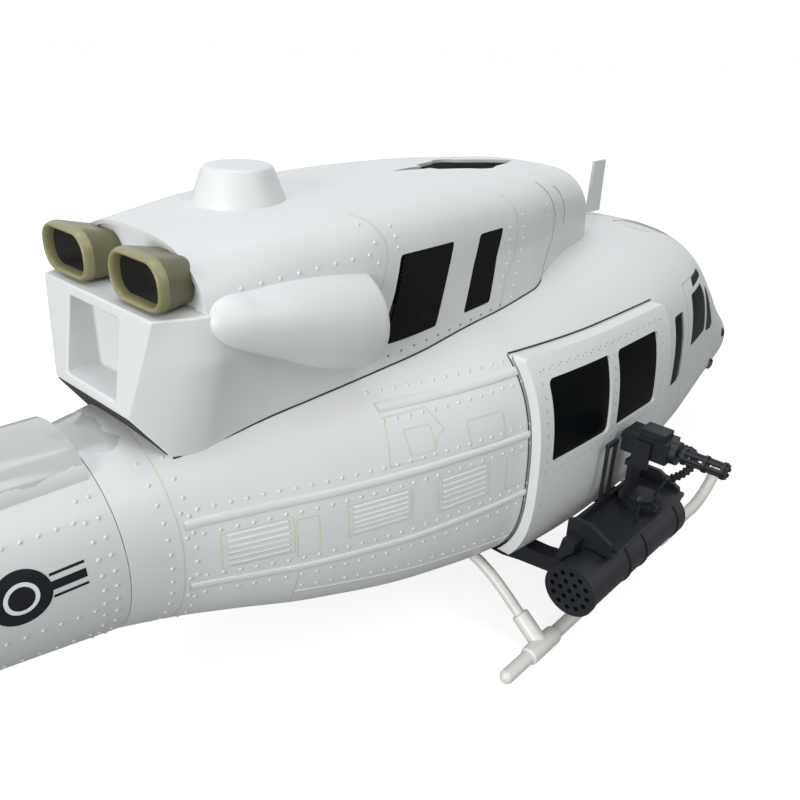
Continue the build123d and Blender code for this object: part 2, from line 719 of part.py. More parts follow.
with BuildPart() as tail_gearbox:
    with Locations((tail_rotor_x, 0, tail_rotor_z)):
        Cylinder(6.8, 20, rotation=(90, 0, 0))
    fillet(tail_gearbox.edges().filter_by(GeomType.CIRCLE), 1.5)
    with Locations((tail_rotor_x, -4, tail_rotor_z)):
        Cylinder(2.5 + running_gap, 20, rotation=(90, 0, 0), mode=Mode.SUBTRACT)
    rod(fin_point(fin_reach - 8), fin_point(fin_reach - 2.5), 2 + running_gap, Mode.SUBTRACT)

with BuildPart() as tail_gearboxes:
    rod(tube_point(520), tube_point(542), 7.5)
    rod(tube_point(518), tube_point(530), 3 + running_gap, Mode.SUBTRACT)
    rod(fin_point(2), fin_point(20), 2 + running_gap, Mode.SUBTRACT)
    add(tail_gearbox.part)
save(tail_gearboxes, "tail_gearboxes")

with BuildPart() as fin_shaft:
    rod(fin_point(3), fin_point(fin_reach - 2.6), 2)
save(fin_shaft, "fin_shaft")

with BuildPart() as tail_hub:
    with Locations((tail_rotor_x, -11.5, tail_rotor_z)):
        Cylinder(2.5, 23, rotation=(90, 0, 0))
    with Locations((tail_rotor_x, -21, tail_rotor_z)):
        Cylinder(5, 7, rotation=(90, 0, 0))
        Box(7, 5, 26)
save(tail_hub, "tail_hub")

with BuildPart() as tail_blades:
    for side in (-1, 1):
        with BuildSketch(Plane.XY.offset(tail_rotor_z + side * 13.1)):
            with Locations((tail_rotor_x, -21)):
                Ellipse(6.8, 1.2)
        extrude(amount=side * (tail_rotor_r - 13.1))
save(tail_blades, "tail_blades")

with BuildPart() as pitch_slider:
    with Locations((tail_rotor_x, -13.8, tail_rotor_z)):
        Cylinder(4.6, 2.4, rotation=(90, 0, 0))
        Cylinder(2.5 + running_gap, 4, rotation=(90, 0, 0), mode=Mode.SUBTRACT)
save(pitch_slider, "pitch_slider")

# ---- stores ----------------------------------------------------------------
for side, name in ((-1, "right"), (1, "left")):
    with BuildPart() as rocket_pod:
        with Locations(((pod_rear + pod_front) / 2, side * pod_y, pod_z)):
            Cylinder(pod_r - 0.6, pod_front - pod_rear, rotation=(0, 90, 0))
        for x, half in ((pod_rear + 1.2, 1.2), (165, 0.5), (182, 0.5), (pod_front - 4, 4)):
            with Locations((x, side * pod_y, pod_z)):
                Cylinder(pod_r, 2 * half, rotation=(0, 90, 0))
        with BuildSketch(cross_plane(pod_rear - 1)):
            with Locations((side * pod_y, pod_z)):
                Circle(1.25)
                with PolarLocations(4.9, 6):
                    Circle(1.25)
                with PolarLocations(9.4, 12):
                    Circle(1.25)
        extrude(amount=9, mode=Mode.SUBTRACT)
    save(rocket_pod, f"rocket_pod_{name}")

    with BuildPart() as stores_mount:
        # tray over the pod
        x0, x1 = 150, 222
        y0, y1 = sorted((side * 100.5, side * 127))
        slab(x0, x1, y0, y1, gun_floor - 4.5, gun_floor - 2)
        with Locations((gun_x, side * gun_y, gun_floor - 3)):
            Cylinder(8 + running_gap, 6, mode=Mode.SUBTRACT)
        y0, y1 = sorted((side * 100.5, side * 102.5))
        slab(x0, x1, y0, y1, gun_floor - 4.5, gun_floor + 2)
        # hooked end plates reaching down to the pod
        for x in (148, 220):
            with BuildSketch(cross_plane(x)):
                with BuildLine():
                    Polyline(
                        *mirrored_y(
                            [(100.4, 52), (100.4, 66), (104, 68), (112, 68), (124, 62), (129.4, 44), (131.4, 44),
                             (129.6, 60), (128, 63), (128, 55), (104, 55), (104, 52)], side),
                        close=True,
                    )
                make_face()
            extrude(amount=2.4)
        # arched arm from the belly
        for x in (140, 216):
            with BuildSketch(cross_plane(x)):
                with BuildLine():
                    Polyline(
                        *mirrored_y(
                            [(58, 33), (62, 43), (73, 45.4), (84, 44.8), (92, 45.2), (100.4, 47), (103, 60),
                             (110, 60), (108, 46), (104, 38), (92, 36.5), (80, 35), (70, 33)], side),
                        close=True,
                    )
                make_face()
            extrude(amount=9)
        hull_solid(hull_stations, -0.2, 0, mode=Mode.SUBTRACT)
        with Locations(((pod_rear + pod_front) / 2, side * pod_y, pod_z)):
            Cylinder(pod_r + 0.05, 160, rotation=(0, 90, 0), mode=Mode.SUBTRACT)
        # two prongs beside the door
        for x in (176, 184):
            with Locations((x, side * 101.6, 78)):
                Cylinder(1, 36)
        with Locations((180, side * 101.6, 96)):
            Box(10, 2, 2)
    save(stores_mount, f"stores_mount_{name}")

    with BuildPart() as gun_cradle:
        with Locations((gun_x, side * gun_y, gun_floor)):
            Cylinder(11, 3.4)
            Cylinder(8, 6.4)
        with Locations((gun_x, side * (gun_y - 6), gun_floor + 12)):
            Box(12, 2.4, 22)
        with Locations((gun_x - 9, side * gun_y, gun_floor + 30)):
            Box(2, 9, 14)
        with Locations((gun_x + 9, side * gun_y, gun_floor + 30)):
            Box(2, 9, 14)
        with Locations((gun_x, side * (gun_y - 5.5), gun_floor + 23.5)):
            Box(20, 3, 3)
        with Locations((gun_x, side * gun_y, gun_floor + 33)):
            Cylinder(1.6 + running_gap, 30, rotation=(0, 90, 0), mode=Mode.SUBTRACT)
        rod((gun_x + 6, side * (gun_y + 5), gun_floor + 2), (gun_x + 8, side * (gun_y + 9), gun_floor + 13), 0.8)
        with Locations((gun_x + 8, side * (gun_y + 9), gun_floor + 13)):
            Sphere(1.5)
    save(gun_cradle, f"gun_cradle_{name}")

    with BuildPart() as gun:
        with Locations((gun_x, side * gun_y, gun_floor + 33)):
            Box(14, 24, 11)
        with Locations((gun_x, side * (gun_y + 13.4), gun_floor + 33)):
            Cylinder(6, 4, rotation=(90, 0, 0))
        with Locations((gun_x, side * (gun_y + 12), gun_floor + 33)):
            Cylinder(1.5, 10, rotation=(90, 0, 0))
        with Locations((gun_x, side * gun_y, gun_floor + 33)):
            Cylinder(1.6, 19.6, rotation=(0, 90, 0))
        slab(gun_x - 5, gun_x + 5, *sorted((side * (gun_y - 4), side * (gun_y + 9))), gun_floor + 38, gun_floor + 42)
        with Locations((gun_x, side * (gun_y - 12.6), gun_floor + 35)):
            Box(11, 1.6, 3)
    save(gun, f"gun_{name}")

    with BuildPart() as barrels:
        for k in range(6):
            angle = 2 * pi * k / 6
            rod(
                (gun_x + 2.8 * cos(angle), side * (gun_y + 17.5), gun_floor + 33 + 2.8 * sin(angle)),
                (gun_x + 2.8 * cos(angle), side * (gun_y + 40), gun_floor + 33 + 2.8 * sin(angle)),
                1.0,
            )
        for reach in (18.5, 29, 38):
            with Locations((gun_x, side * (gun_y + reach), gun_floor + 33)):
                Cylinder(4.4, 1.6, rotation=(90, 0, 0))
    save(barrels, f"gun_barrels_{name}")
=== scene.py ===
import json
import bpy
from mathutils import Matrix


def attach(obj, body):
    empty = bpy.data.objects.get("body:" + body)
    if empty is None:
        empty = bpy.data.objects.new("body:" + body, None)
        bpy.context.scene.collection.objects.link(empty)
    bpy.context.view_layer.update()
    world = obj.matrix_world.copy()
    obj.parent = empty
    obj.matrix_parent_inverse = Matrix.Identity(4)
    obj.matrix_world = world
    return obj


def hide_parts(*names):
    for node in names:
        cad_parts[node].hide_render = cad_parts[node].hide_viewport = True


bl_info = {
    "name": "Scale utility helicopter looks",
    "version": (1, 0, 0),
    "blender": (4, 5, 0),
    "location": "3D View > Sidebar > Helicopter",
    "description": "Skins, panes, rivets, mouldings and finishes for the packed scale helicopter",
    "category": "Object",
}

import bmesh
import bpy
import numpy as np
from mathutils import Matrix, Vector

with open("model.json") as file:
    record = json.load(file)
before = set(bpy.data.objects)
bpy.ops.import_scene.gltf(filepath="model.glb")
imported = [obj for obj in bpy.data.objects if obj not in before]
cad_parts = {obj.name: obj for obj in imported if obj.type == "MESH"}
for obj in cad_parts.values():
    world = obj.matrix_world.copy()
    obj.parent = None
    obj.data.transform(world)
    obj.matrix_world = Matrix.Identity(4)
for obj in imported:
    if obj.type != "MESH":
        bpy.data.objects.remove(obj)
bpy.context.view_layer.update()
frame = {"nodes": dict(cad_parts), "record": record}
MM = 0.001
THREAD_PITCH = 0.0014  # along x, for threads 1 mm apart

# x, bottom, top, half width, widest height, upper exponent, lower exponent (mm)
HULL = np.array([
    (-47, 65, 147, 39, 108, 2.0, 2.0), (-28, 59.5, 149, 43, 107, 2.0, 2.1), (-2, 52, 152, 53, 104, 2.0, 2.2),
    (28, 43, 157, 65, 100, 2.2, 2.3), (78, 34, 165, 80, 96, 2.4, 2.6), (128, 31, 171, 89, 93, 2.8, 2.9),
    (188, 30, 174, 92, 91, 3.1, 3.0), (248, 30.5, 175, 92, 90.5, 3.15, 3.0), (298, 32, 174, 86.5, 88, 3.1, 2.8),
    (338, 33, 168, 79, 86, 2.9, 2.7), (373, 35, 150, 72, 82, 2.5, 2.5), (403, 39, 124, 66.5, 79, 2.2, 2.3),
    (423, 43, 108, 62, 76, 2.1, 2.2), (438, 48, 99, 54, 75, 2.0, 2.1), (453, 55, 92, 40, 74, 2.0, 2.0),
    (464, 64, 83, 20, 74, 2.0, 2.0), (468, 69, 79, 9, 74, 2.0, 2.0),
])
BOOM = np.array([
    (-47.3, 65, 147, 39, 108, 2, 2), (-82, 71, 148, 35.5, 111, 2, 2), (-152, 83, 150, 30, 117, 2, 2),
    (-250, 100, 154, 23.5, 128, 2, 2), (-350, 117, 159, 17, 139, 2, 2), (-424, 129, 163, 11, 147, 2, 2),
], float)
# x, base, top, half width at the base, at the shoulder, side power, top power (mm)
COWL = np.array([
    (-10, 139.5, 216, 31, 44.5, 2.9, 2.7), (8, 142, 217.5, 34, 46, 3.4, 2.9), (32, 146, 219, 40, 48, 4.2, 3.2),
    (65, 151, 220, 47, 52, 5, 3.4), (100, 154, 220.5, 53, 53, 5, 3.4), (145, 158, 219.5, 57, 52, 5, 3.4),
    (167, 159.5, 218.5, 56.5, 50.5, 5, 3.4), (185, 160, 217.5, 49.5, 47, 4.8, 3.3),
    (203, 161, 216.5, 42, 42.5, 4.4, 3.2),
    (219, 163, 215.5, 36, 39, 4, 3), (238, 164, 212.5, 33.5, 34.5, 3.6, 2.8), (250, 165, 206, 31.5, 31, 3.2, 2.6),
    (260, 166, 196, 25.5, 25, 3, 2.5), (267, 167, 184, 16, 16, 2.6, 2.3), (270, 168, 177, 9, 9, 2.4, 2.2),
], float)
SPINE = np.array([(-49, 141, 153, 23), (-250, 151, 163, 15), (-368, 157, 168, 10)], float)


# ---- curves and surfaces ----------------------------------------------------
def along(table, column, x):
    """Monotone cubic through one column of a station table: slopes are the harmonic mean of the two chord
    slopes where these agree in sign, and nil where they don't."""
    order = np.argsort(table[:, 0])
    xs, ys = table[order, 0], table[order, column]
    step = np.diff(xs)
    chord = np.diff(ys) / step
    slope = np.concatenate([chord[:1], np.zeros(len(xs) - 2), chord[-1:]])
    same = chord[:-1] * chord[1:] > 0
    w1, w2 = 2 * step[1:] + step[:-1], step[1:] + 2 * step[:-1]
    safe = np.where(same, chord[:-1], 1.0), np.where(same, chord[1:], 1.0)
    slope[1:-1] = np.where(same, (w1 + w2) / (w1 / safe[0] + w2 / safe[1]), 0.0)
    x = np.asarray(x, float)
    k = np.clip(np.searchsorted(xs, x) - 1, 0, len(xs) - 2)
    t = (x - xs[k]) / step[k]
    h00, h10 = 2 * t**3 - 3 * t**2 + 1, t**3 - 2 * t**2 + t
    h01, h11 = -2 * t**3 + 3 * t**2, t**3 - t**2
    return h00 * ys[k] + h10 * step[k] * slope[k] + h01 * ys[k + 1] + h11 * step[k] * slope[k + 1]


def ring_points(table, x, inset, count):
    """Superellipse section at x, drawn in by the inset: abs(y/w)^n + abs(z/h)^n = 1, spread by arc length."""
    bottom, top, half, widest, n_top, n_bottom = (float(along(table, k, x)) for k in range(1, 7))
    a = np.linspace(-np.pi / 2, 1.5 * np.pi, 961)
    c, s = np.cos(a), np.sin(a)
    n = np.where(s >= 0, n_top, n_bottom)
    y = np.sign(c) * np.abs(c) ** (2 / n) * (half - inset)
    z = widest + np.sign(s) * np.abs(s) ** (2 / n) * np.where(s >= 0, top - inset - widest, widest - bottom - inset)
    run = np.concatenate([[0], np.cumsum(np.hypot(np.diff(y), np.diff(z)))])
    even = np.linspace(0, run[-1], count, endpoint=False)
    return np.stack([np.full(count, float(x)), np.interp(even, run, y), np.interp(even, run, z)], 1)


def side_y(table, x, z, inset=0.0):
    """Half width of the superellipse section at height z: y = w (1 - abs(z/h)^n)^(1/n)."""
    bottom, top, half, widest, n_top, n_bottom = (along(table, k, x) for k in range(1, 7))
    up = z >= widest
    n = np.where(up, n_top, n_bottom)
    h = np.where(up, top - inset - widest, widest - bottom - inset)
    ratio = np.clip(np.abs(z - widest) / h, 0, 0.9999)
    return (half - inset) * (1 - ratio**n) ** (1 / n)


def cowl_ring(x, inset, count):
    """Cowling section at x: straight flank from the base half width up to the shoulder, then a flat-topped
    arch y = w c^(2/p), z = h s^(2/q), spread by arc length."""
    base, top, foot, shoulder, p, q = (float(along(COWL, k, x)) for k in range(1, 7))
    foot, shoulder, top = foot - inset, shoulder - inset, top - inset
    rise = top - base
    a = np.linspace(0, np.pi, 481)
    c, s = np.cos(a), np.sin(a)
    y = np.sign(c) * np.abs(c) ** (2 / p) * shoulder
    z = base + 0.5 * rise + np.abs(s) ** (2 / q) * 0.5 * rise
    y = np.concatenate([[foot], y, [-foot]])
    z = np.concatenate([[base - 3], z, [base - 3]])
    run = np.concatenate([[0], np.cumsum(np.hypot(np.diff(y), np.diff(z)))])
    even = np.linspace(0, run[-1], count)
    return np.stack([np.full(count, float(x)), np.interp(even, run, y), np.interp(even, run, z)], 1)


def cowl_y(x, z, inset=0.0):
    """Half width of the cowling section at height z, by the same two formulas as cowl_ring."""
    base, top, foot, shoulder, p, q = (along(COWL, k, x) for k in range(1, 7))
    rise = top - inset - base
    t = np.clip((z - base + 3) / (0.5 * rise + 3), 0, 1)
    flank = (foot - inset) + (shoulder - foot) * t
    s = np.clip((z - base - 0.5 * rise) / (0.5 * rise), 0, 0.9999) ** (q / 2)
    arch = (shoulder - inset) * np.sqrt(1 - s**2) ** (2 / p)
    return np.where(z > base + 0.5 * rise, arch, flank)


def mesh_piece(name, vertices, faces, material, body="airframe", slot=None, smooth=35.0):
    """One piece from whole arrays of corners (mm) and faces."""
    mesh = bpy.data.meshes.new(name)
    corners = np.asarray(vertices, float) * MM
    if isinstance(faces, np.ndarray):
        count, sides = faces.shape
        mesh.vertices.add(len(corners))
        mesh.vertices.foreach_set("co", corners.ravel())
        mesh.loops.add(count * sides)
        mesh.loops.foreach_set("vertex_index", faces.astype(np.int32).ravel())
        mesh.polygons.add(count)
        mesh.polygons.foreach_set("loop_start", np.arange(0, count * sides, sides, dtype=np.int32))
        mesh.update(calc_edges=True)
        mesh.validate()
    else:
        mesh.from_pydata(corners.tolist(), [], faces)
    mesh.update()
    piece = bpy.data.objects.new(name, mesh)
    bpy.context.scene.collection.objects.link(piece)
    if material is not None:
        mesh.materials.append(material)
    if smooth:
        mesh.polygons.foreach_set("use_smooth", np.ones(len(mesh.polygons), bool))
        mesh.set_sharp_from_angle(angle=np.radians(smooth))
    if body:
        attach(piece, body)
    return piece


def grid_faces(rows, columns, wrap=False):
    """Quads of a rows by columns grid of corners, wrapping round the columns if asked."""
    r, c = np.meshgrid(np.arange(rows - 1), np.arange(columns if wrap else columns - 1), indexing="ij")
    n = (c + 1) % columns
    return np.stack([r * columns + c, r * columns + n, (r + 1) * columns + n, (r + 1) * columns + c], -1).reshape(-1, 4)


def shell_arrays(outer, inner, wrap=True):
    """Closed wall between two grids of the same size, with end strips (and side strips when it does not wrap)."""
    rows, columns = outer.shape[:2]
    base = rows * columns
    quads = grid_faces(rows, columns, wrap)
    ends = []
    j = np.arange(columns if wrap else columns - 1)
    n = (j + 1) % columns
    ends.append(np.stack([n, j, base + j, base + n], 1))
    last = (rows - 1) * columns
    ends.append(np.stack([last + j, last + n, base + last + n, base + last + j], 1))
    if not wrap:
        i = np.arange(rows - 1) * columns
        ends.append(np.stack([i, i + columns, base + i + columns, base + i], 1))
        i = i + columns - 1
        ends.append(np.stack([i + columns, i, base + i, base + i + columns], 1))
    faces = np.concatenate([quads, quads[:, ::-1] + base] + ends)
    return np.concatenate([outer.reshape(-1, 3), inner.reshape(-1, 3)]), faces


def outward(piece):
    """Turns the faces so that the closed mesh has positive volume."""
    mesh = piece.data
    co = np.zeros(len(mesh.vertices) * 3)
    mesh.vertices.foreach_get("co", co)
    co = co.reshape(-1, 3)
    mesh.calc_loop_triangles()
    tri = np.zeros(len(mesh.loop_triangles) * 3, np.int32)
    mesh.loop_triangles.foreach_get("vertices", tri)
    a, b, c = (co[tri.reshape(-1, 3)[:, k]] for k in range(3))
    if np.einsum("ij,ij->i", a, np.cross(b, c)).sum() < 0:
        mesh.flip_normals()
    return piece


def prism_arrays(outline, plane, low, high):
    """Outline of (u, v) points carried between two distances along the plane's normal: xz, xy or yz."""
    p = np.asarray(outline, float)
    n = len(p)
    a, b = np.full(n, float(low)), np.full(n, float(high))
    stack = {"xz": lambda w: np.stack([p[:, 0], w, p[:, 1]], 1), "xy": lambda w: np.stack([p[:, 0], p[:, 1], w], 1),
             "yz": lambda w: np.stack([w, p[:, 0], p[:, 1]], 1)}[plane]
    side = [(i, (i + 1) % n, n + (i + 1) % n, n + i) for i in range(n)]
    return np.concatenate([stack(a), stack(b)]), [tuple(range(n))[::-1], tuple(range(n, 2 * n))] + side


def disc_faces(n):
    """Two n-gons, one corner loop after the other, and the wall between them."""
    return [tuple(range(n)), tuple(range(n, 2 * n))[::-1]] + [(k, n + k, n + (k + 1) % n, (k + 1) % n)
                                                             for k in range(n)]


def cutter(shapes):
    """One hidden mesh holding every prism in the list."""
    vertices, faces, start = [], [], 0
    for v, f in shapes:
        vertices.append(v)
        faces += [tuple(i + start for i in face) for face in f]
        start += len(v)
    piece = mesh_piece("cutter", np.concatenate(vertices), faces, None, body=None, smooth=0)
    bm = bmesh.new()
    bm.from_mesh(piece.data)
    bmesh.ops.recalc_face_normals(bm, faces=bm.faces)
    bm.to_mesh(piece.data)
    bm.free()
    return piece


def carve(piece, shapes, keep=False, smooth=35.0):
    """Cuts the prisms out of the piece, or keeps only what lies inside them, and applies the result."""
    tool = cutter(shapes)
    cut = piece.modifiers.new("carve", "BOOLEAN")
    cut.operation = "INTERSECT" if keep else "DIFFERENCE"
    cut.solver = "EXACT"
    cut.object = tool
    bpy.context.view_layer.update()
    made = bpy.data.meshes.new_from_object(piece.evaluated_get(bpy.context.evaluated_depsgraph_get()))
    piece.modifiers.clear()
    old = piece.data
    made.name = piece.name
    piece.data = made
    bpy.data.meshes.remove(old)
    leftover = tool.data
    bpy.data.objects.remove(tool)
    bpy.data.meshes.remove(leftover)
    if len(made.polygons) == 0:
        raise RuntimeError(f"{piece.name} was cut away entirely")
    made.polygons.foreach_set("use_smooth", np.ones(len(made.polygons), bool))
    made.set_sharp_from_angle(angle=np.radians(smooth))
    return piece


def rounded_rectangle(x0, x1, z0, z1, r, steps=6):
    """Corner arcs of radius r at the four corners, run round anticlockwise."""
    a = np.linspace(0, np.pi / 2, steps)
    out = []
    for k, (cx, cz) in enumerate(((x1 - r, z1 - r), (x0 + r, z1 - r), (x0 + r, z0 + r), (x1 - r, z0 + r))):
        out.append(np.stack([cx + r * np.cos(a + k * np.pi / 2), cz + r * np.sin(a + k * np.pi / 2)], 1))
    return np.concatenate(out)


def rounded_corners(points, r, steps=5):
    """Each corner of the outline replaced by a quadratic curve that starts and ends r along its two edges."""
    p = np.asarray(points, float)
    before, after = np.roll(p, 1, 0) - p, np.roll(p, -1, 0) - p
    lb, la = np.linalg.norm(before, axis=1), np.linalg.norm(after, axis=1)
    start = p + before / lb[:, None] * np.minimum(r, lb / 3)[:, None]
    end = p + after / la[:, None] * np.minimum(r, la / 3)[:, None]
    t = np.linspace(0, 1, steps)[None, :, None]
    return ((1 - t) ** 2 * start[:, None] + 2 * t * (1 - t) * p[:, None] + t**2 * end[:, None]).reshape(-1, 2)


def tube_arrays(path, radius, around=20, closed_ends=True):
    """Circle of the given radius (a number or one per point) carried along the path, with its frame turned as
    little as possible from point to point; pole caps close the ends."""
    p = np.asarray(path, float)
    tangent = np.gradient(p, axis=0)
    tangent /= np.linalg.norm(tangent, axis=1)[:, None]
    guide = np.array([0, 0, 1.0]) if abs(tangent[0, 2]) < 0.9 else np.array([1.0, 0, 0])
    first = np.cross(tangent, guide)
    first /= np.linalg.norm(first, axis=1)[:, None]
    second = np.cross(tangent, first)
    a = np.linspace(0, 2 * np.pi, around, endpoint=False)
    r = np.broadcast_to(np.asarray(radius, float), (len(p),))[:, None, None]
    ring = first[:, None] * np.cos(a)[None, :, None] + second[:, None] * np.sin(a)[None, :, None]
    v = (p[:, None] + r * ring).reshape(-1, 3)
    faces = [tuple(f) for f in grid_faces(len(p), around, True)]
    if closed_ends:
        faces += [tuple(range(around))[::-1], tuple((len(p) - 1) * around + k for k in range(around))]
    return v, faces


def merged(parts):
    """Several (corners, faces) pairs joined into one pair."""
    vertices, faces, start = [], [], 0
    for v, f in parts:
        vertices.append(np.asarray(v, float))
        faces += [tuple(int(i) + start for i in face) for face in f]
        start += len(v)
    return np.concatenate(vertices), faces


def smooth_node(node, material, slot, angle=38.0, bevel=0.0):
    """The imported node's own shape with its loose triangles merged, so that it shades smoothly."""
    source = frame["nodes"][node].data
    co = np.zeros(len(source.vertices) * 3)
    source.vertices.foreach_get("co", co)
    co = co.reshape(-1, 3)
    key, index = np.unique(np.round(co * 1e6).astype(np.int64), axis=0, return_inverse=True)
    source.calc_loop_triangles()
    tri = np.zeros(len(source.loop_triangles) * 3, np.int32)
    source.loop_triangles.foreach_get("vertices", tri)
    tri = index.ravel()[tri].reshape(-1, 3)
    good = (tri[:, 0] != tri[:, 1]) & (tri[:, 1] != tri[:, 2]) & (tri[:, 0] != tri[:, 2])
    body = next(name for name, members in frame["record"]["behaviour"]["bodies"].items() if node in members)
    piece = mesh_piece(node + "_skin", key / 1e3, tri[good], material, body, slot, angle)
    if bevel:
        edge = piece.modifiers.new("edge", "BEVEL")
        edge.width = bevel * MM
        edge.segments = 2
        edge.limit_method = "ANGLE"
        edge.angle_limit = np.radians(40)
        edge.harden_normals = False
    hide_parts(node)
    return piece


# ---- finishes ---------------------------------------------------------------
def linked(tree, kind, **feeds):
    """New shader node of the given kind; each feed is (input, source socket or plain value)."""
    node = tree.nodes.new("ShaderNode" + kind)
    for socket, feed in feeds.values():
        if isinstance(feed, bpy.types.NodeSocket):
            tree.links.new(feed, node.inputs[socket])
        else:
            node.inputs[socket].default_value = feed
    return node


def calculated(tree, operation, first, second=0.0):
    """Output of a maths node fed with sockets or numbers."""
    node = linked(tree, "Math", a=(0, first), b=(1, second))
    node.operation = operation
    return node.outputs[0]


def finish_material(name, colour, rough, metallic=0.0, coat=0.0, tint=0.03, patch=18.0, grain=900.0, relief=0.00002,
                    shine=0.5):
    """Principled finish: slow noise shifts the colour a little, finer noise varies the gloss, and fine grain
    gives a slight relief."""
    material = bpy.data.materials.get(name)
    if material:
        return material
    material = bpy.data.materials.new(name)
    material.use_nodes = True
    tree = material.node_tree
    shader = tree.nodes["Principled BSDF"]
    place = tree.nodes.new("ShaderNodeTexCoord")
    slow = tree.nodes.new("ShaderNodeTexNoise")
    slow.inputs["Scale"].default_value = patch
    slow.inputs["Detail"].default_value = 3
    ramp = tree.nodes.new("ShaderNodeValToRGB")
    low = [max(0.0, c * (1 - tint)) for c in colour[:3]]
    high = [min(1.0, c * (1 + tint)) for c in colour[:3]]
    ramp.color_ramp.elements[0].position = 0.3
    ramp.color_ramp.elements[1].position = 0.7
    ramp.color_ramp.elements[0].color = (*low, 1)
    ramp.color_ramp.elements[1].color = (*high, 1)
    fine = tree.nodes.new("ShaderNodeTexNoise")
    fine.inputs["Scale"].default_value = patch * 4
    spread = tree.nodes.new("ShaderNodeMapRange")
    spread.inputs["To Min"].default_value = max(0.02, rough - 0.06)
    spread.inputs["To Max"].default_value = min(1.0, rough + 0.06)
    dust = tree.nodes.new("ShaderNodeTexNoise")
    dust.inputs["Scale"].default_value = grain
    bump = tree.nodes.new("ShaderNodeBump")
    bump.inputs["Strength"].default_value = 0.35
    bump.inputs["Distance"].default_value = relief
    for texture in (slow, fine, dust):
        tree.links.new(place.outputs["Object"], texture.inputs["Vector"])
    tree.links.new(slow.outputs["Fac"], ramp.inputs["Fac"])
    tree.links.new(ramp.outputs["Color"], shader.inputs["Base Color"])
    tree.links.new(fine.outputs["Fac"], spread.inputs["Value"])
    tree.links.new(spread.outputs["Result"], shader.inputs["Roughness"])
    tree.links.new(dust.outputs["Fac"], bump.inputs["Height"])
    tree.links.new(bump.outputs["Normal"], shader.inputs["Normal"])
    shader.inputs["Metallic"].default_value = metallic
    shader.inputs["Specular IOR Level"].default_value = shine
    shader.inputs["Coat Weight"].default_value = coat
    shader.inputs["Coat Roughness"].default_value = 0.12
    return material


def weave_material():
    """Woven black screen: threads lie along x + z and x - z at a pitch of 1 mm, each a sine ridge, and the holes
    between them are near black."""
    material = bpy.data.materials.get("woven_screen")
    if material:
        return material
    material = finish_material("woven_screen", (0.02, 0.02, 0.02), 0.6, tint=0.1, shine=0.04)
    tree = material.node_tree
    shader = tree.nodes["Principled BSDF"]
    place = tree.nodes.new("ShaderNodeTexCoord")
    split = linked(tree, "SeparateXYZ", a=("Vector", place.outputs["Object"]))
    waves = []
    for joining in ("ADD", "SUBTRACT"):
        across = calculated(tree, joining, split.outputs["X"], split.outputs["Z"])
        waves.append(calculated(tree, "SINE", calculated(tree, "MULTIPLY", across, 2 * np.pi / THREAD_PITCH)))
    top = calculated(tree, "MAXIMUM", *waves)
    ramp = tree.nodes.new("ShaderNodeValToRGB")
    ramp.color_ramp.elements[0].position = 0.45
    ramp.color_ramp.elements[0].color = (0.002, 0.002, 0.002, 1)
    ramp.color_ramp.elements[1].position = 0.95
    ramp.color_ramp.elements[1].color = (0.022, 0.022, 0.020, 1)
    tree.links.new(top, ramp.inputs["Fac"])
    tree.links.new(ramp.outputs["Color"], shader.inputs["Base Color"])
    bump = linked(tree, "Bump", a=("Distance", 0.0003), b=("Height", top))
    tree.links.new(bump.outputs["Normal"], shader.inputs["Normal"])
    return material


def lacquer_reflection_material(colour):
    """The body paint with glossy unpainted lacquer on top of the tail joint, its greyer tone a painted reflection: a
    ramp along x times a ramp up z times coarse noise makes the ragged, chipped patch, which is greyer and shinier than
    the paint."""
    material = bpy.data.materials.get("joint_lacquer_reflection")
    if material:
        return material
    material = finish_material("joint_lacquer_reflection", colour, 0.46, coat=0.08, tint=0.012, patch=9)
    tree = material.node_tree
    shader = tree.nodes["Principled BSDF"]
    place = tree.nodes.new("ShaderNodeTexCoord")
    split = linked(tree, "SeparateXYZ", a=("Vector", place.outputs["Object"]))
    masks = [linked(tree, "MapRange", a=("From Min", low), b=("From Max", high), c=("Value", split.outputs[axis])
                    ).outputs[0]
             for axis, low, high in (("X", -0.115, -0.085), ("X", -0.026, -0.036), ("Z", 0.141, 0.146))]
    chips = linked(tree, "TexNoise", a=("Scale", 140), b=("Detail", 6), c=("Vector", place.outputs["Object"]))
    along_x = calculated(tree, "MULTIPLY", masks[0], masks[1])
    ragged = calculated(tree, "ADD", calculated(tree, "MULTIPLY", along_x, masks[2]), chips.outputs["Fac"])
    edge = linked(tree, "MapRange", a=("From Min", 1.14), b=("From Max", 1.2), c=("Value", ragged)).outputs[0]
    # painted reflection: the top patch's greyer colour stands in for reflection on the gloss, while its low roughness
    # is real gloss
    for target, glossy_reflection in (("Base Color", (0.50, 0.51, 0.50, 1)), ("Roughness", (0.12, 0.12, 0.12, 1))):
        plain = shader.inputs[target].links[0].from_socket
        tone = linked(tree, "MixRGB", a=("Fac", edge), b=("Color1", plain), c=("Color2", glossy_reflection))
        tree.links.new(tone.outputs["Color"], shader.inputs[target])
    return material


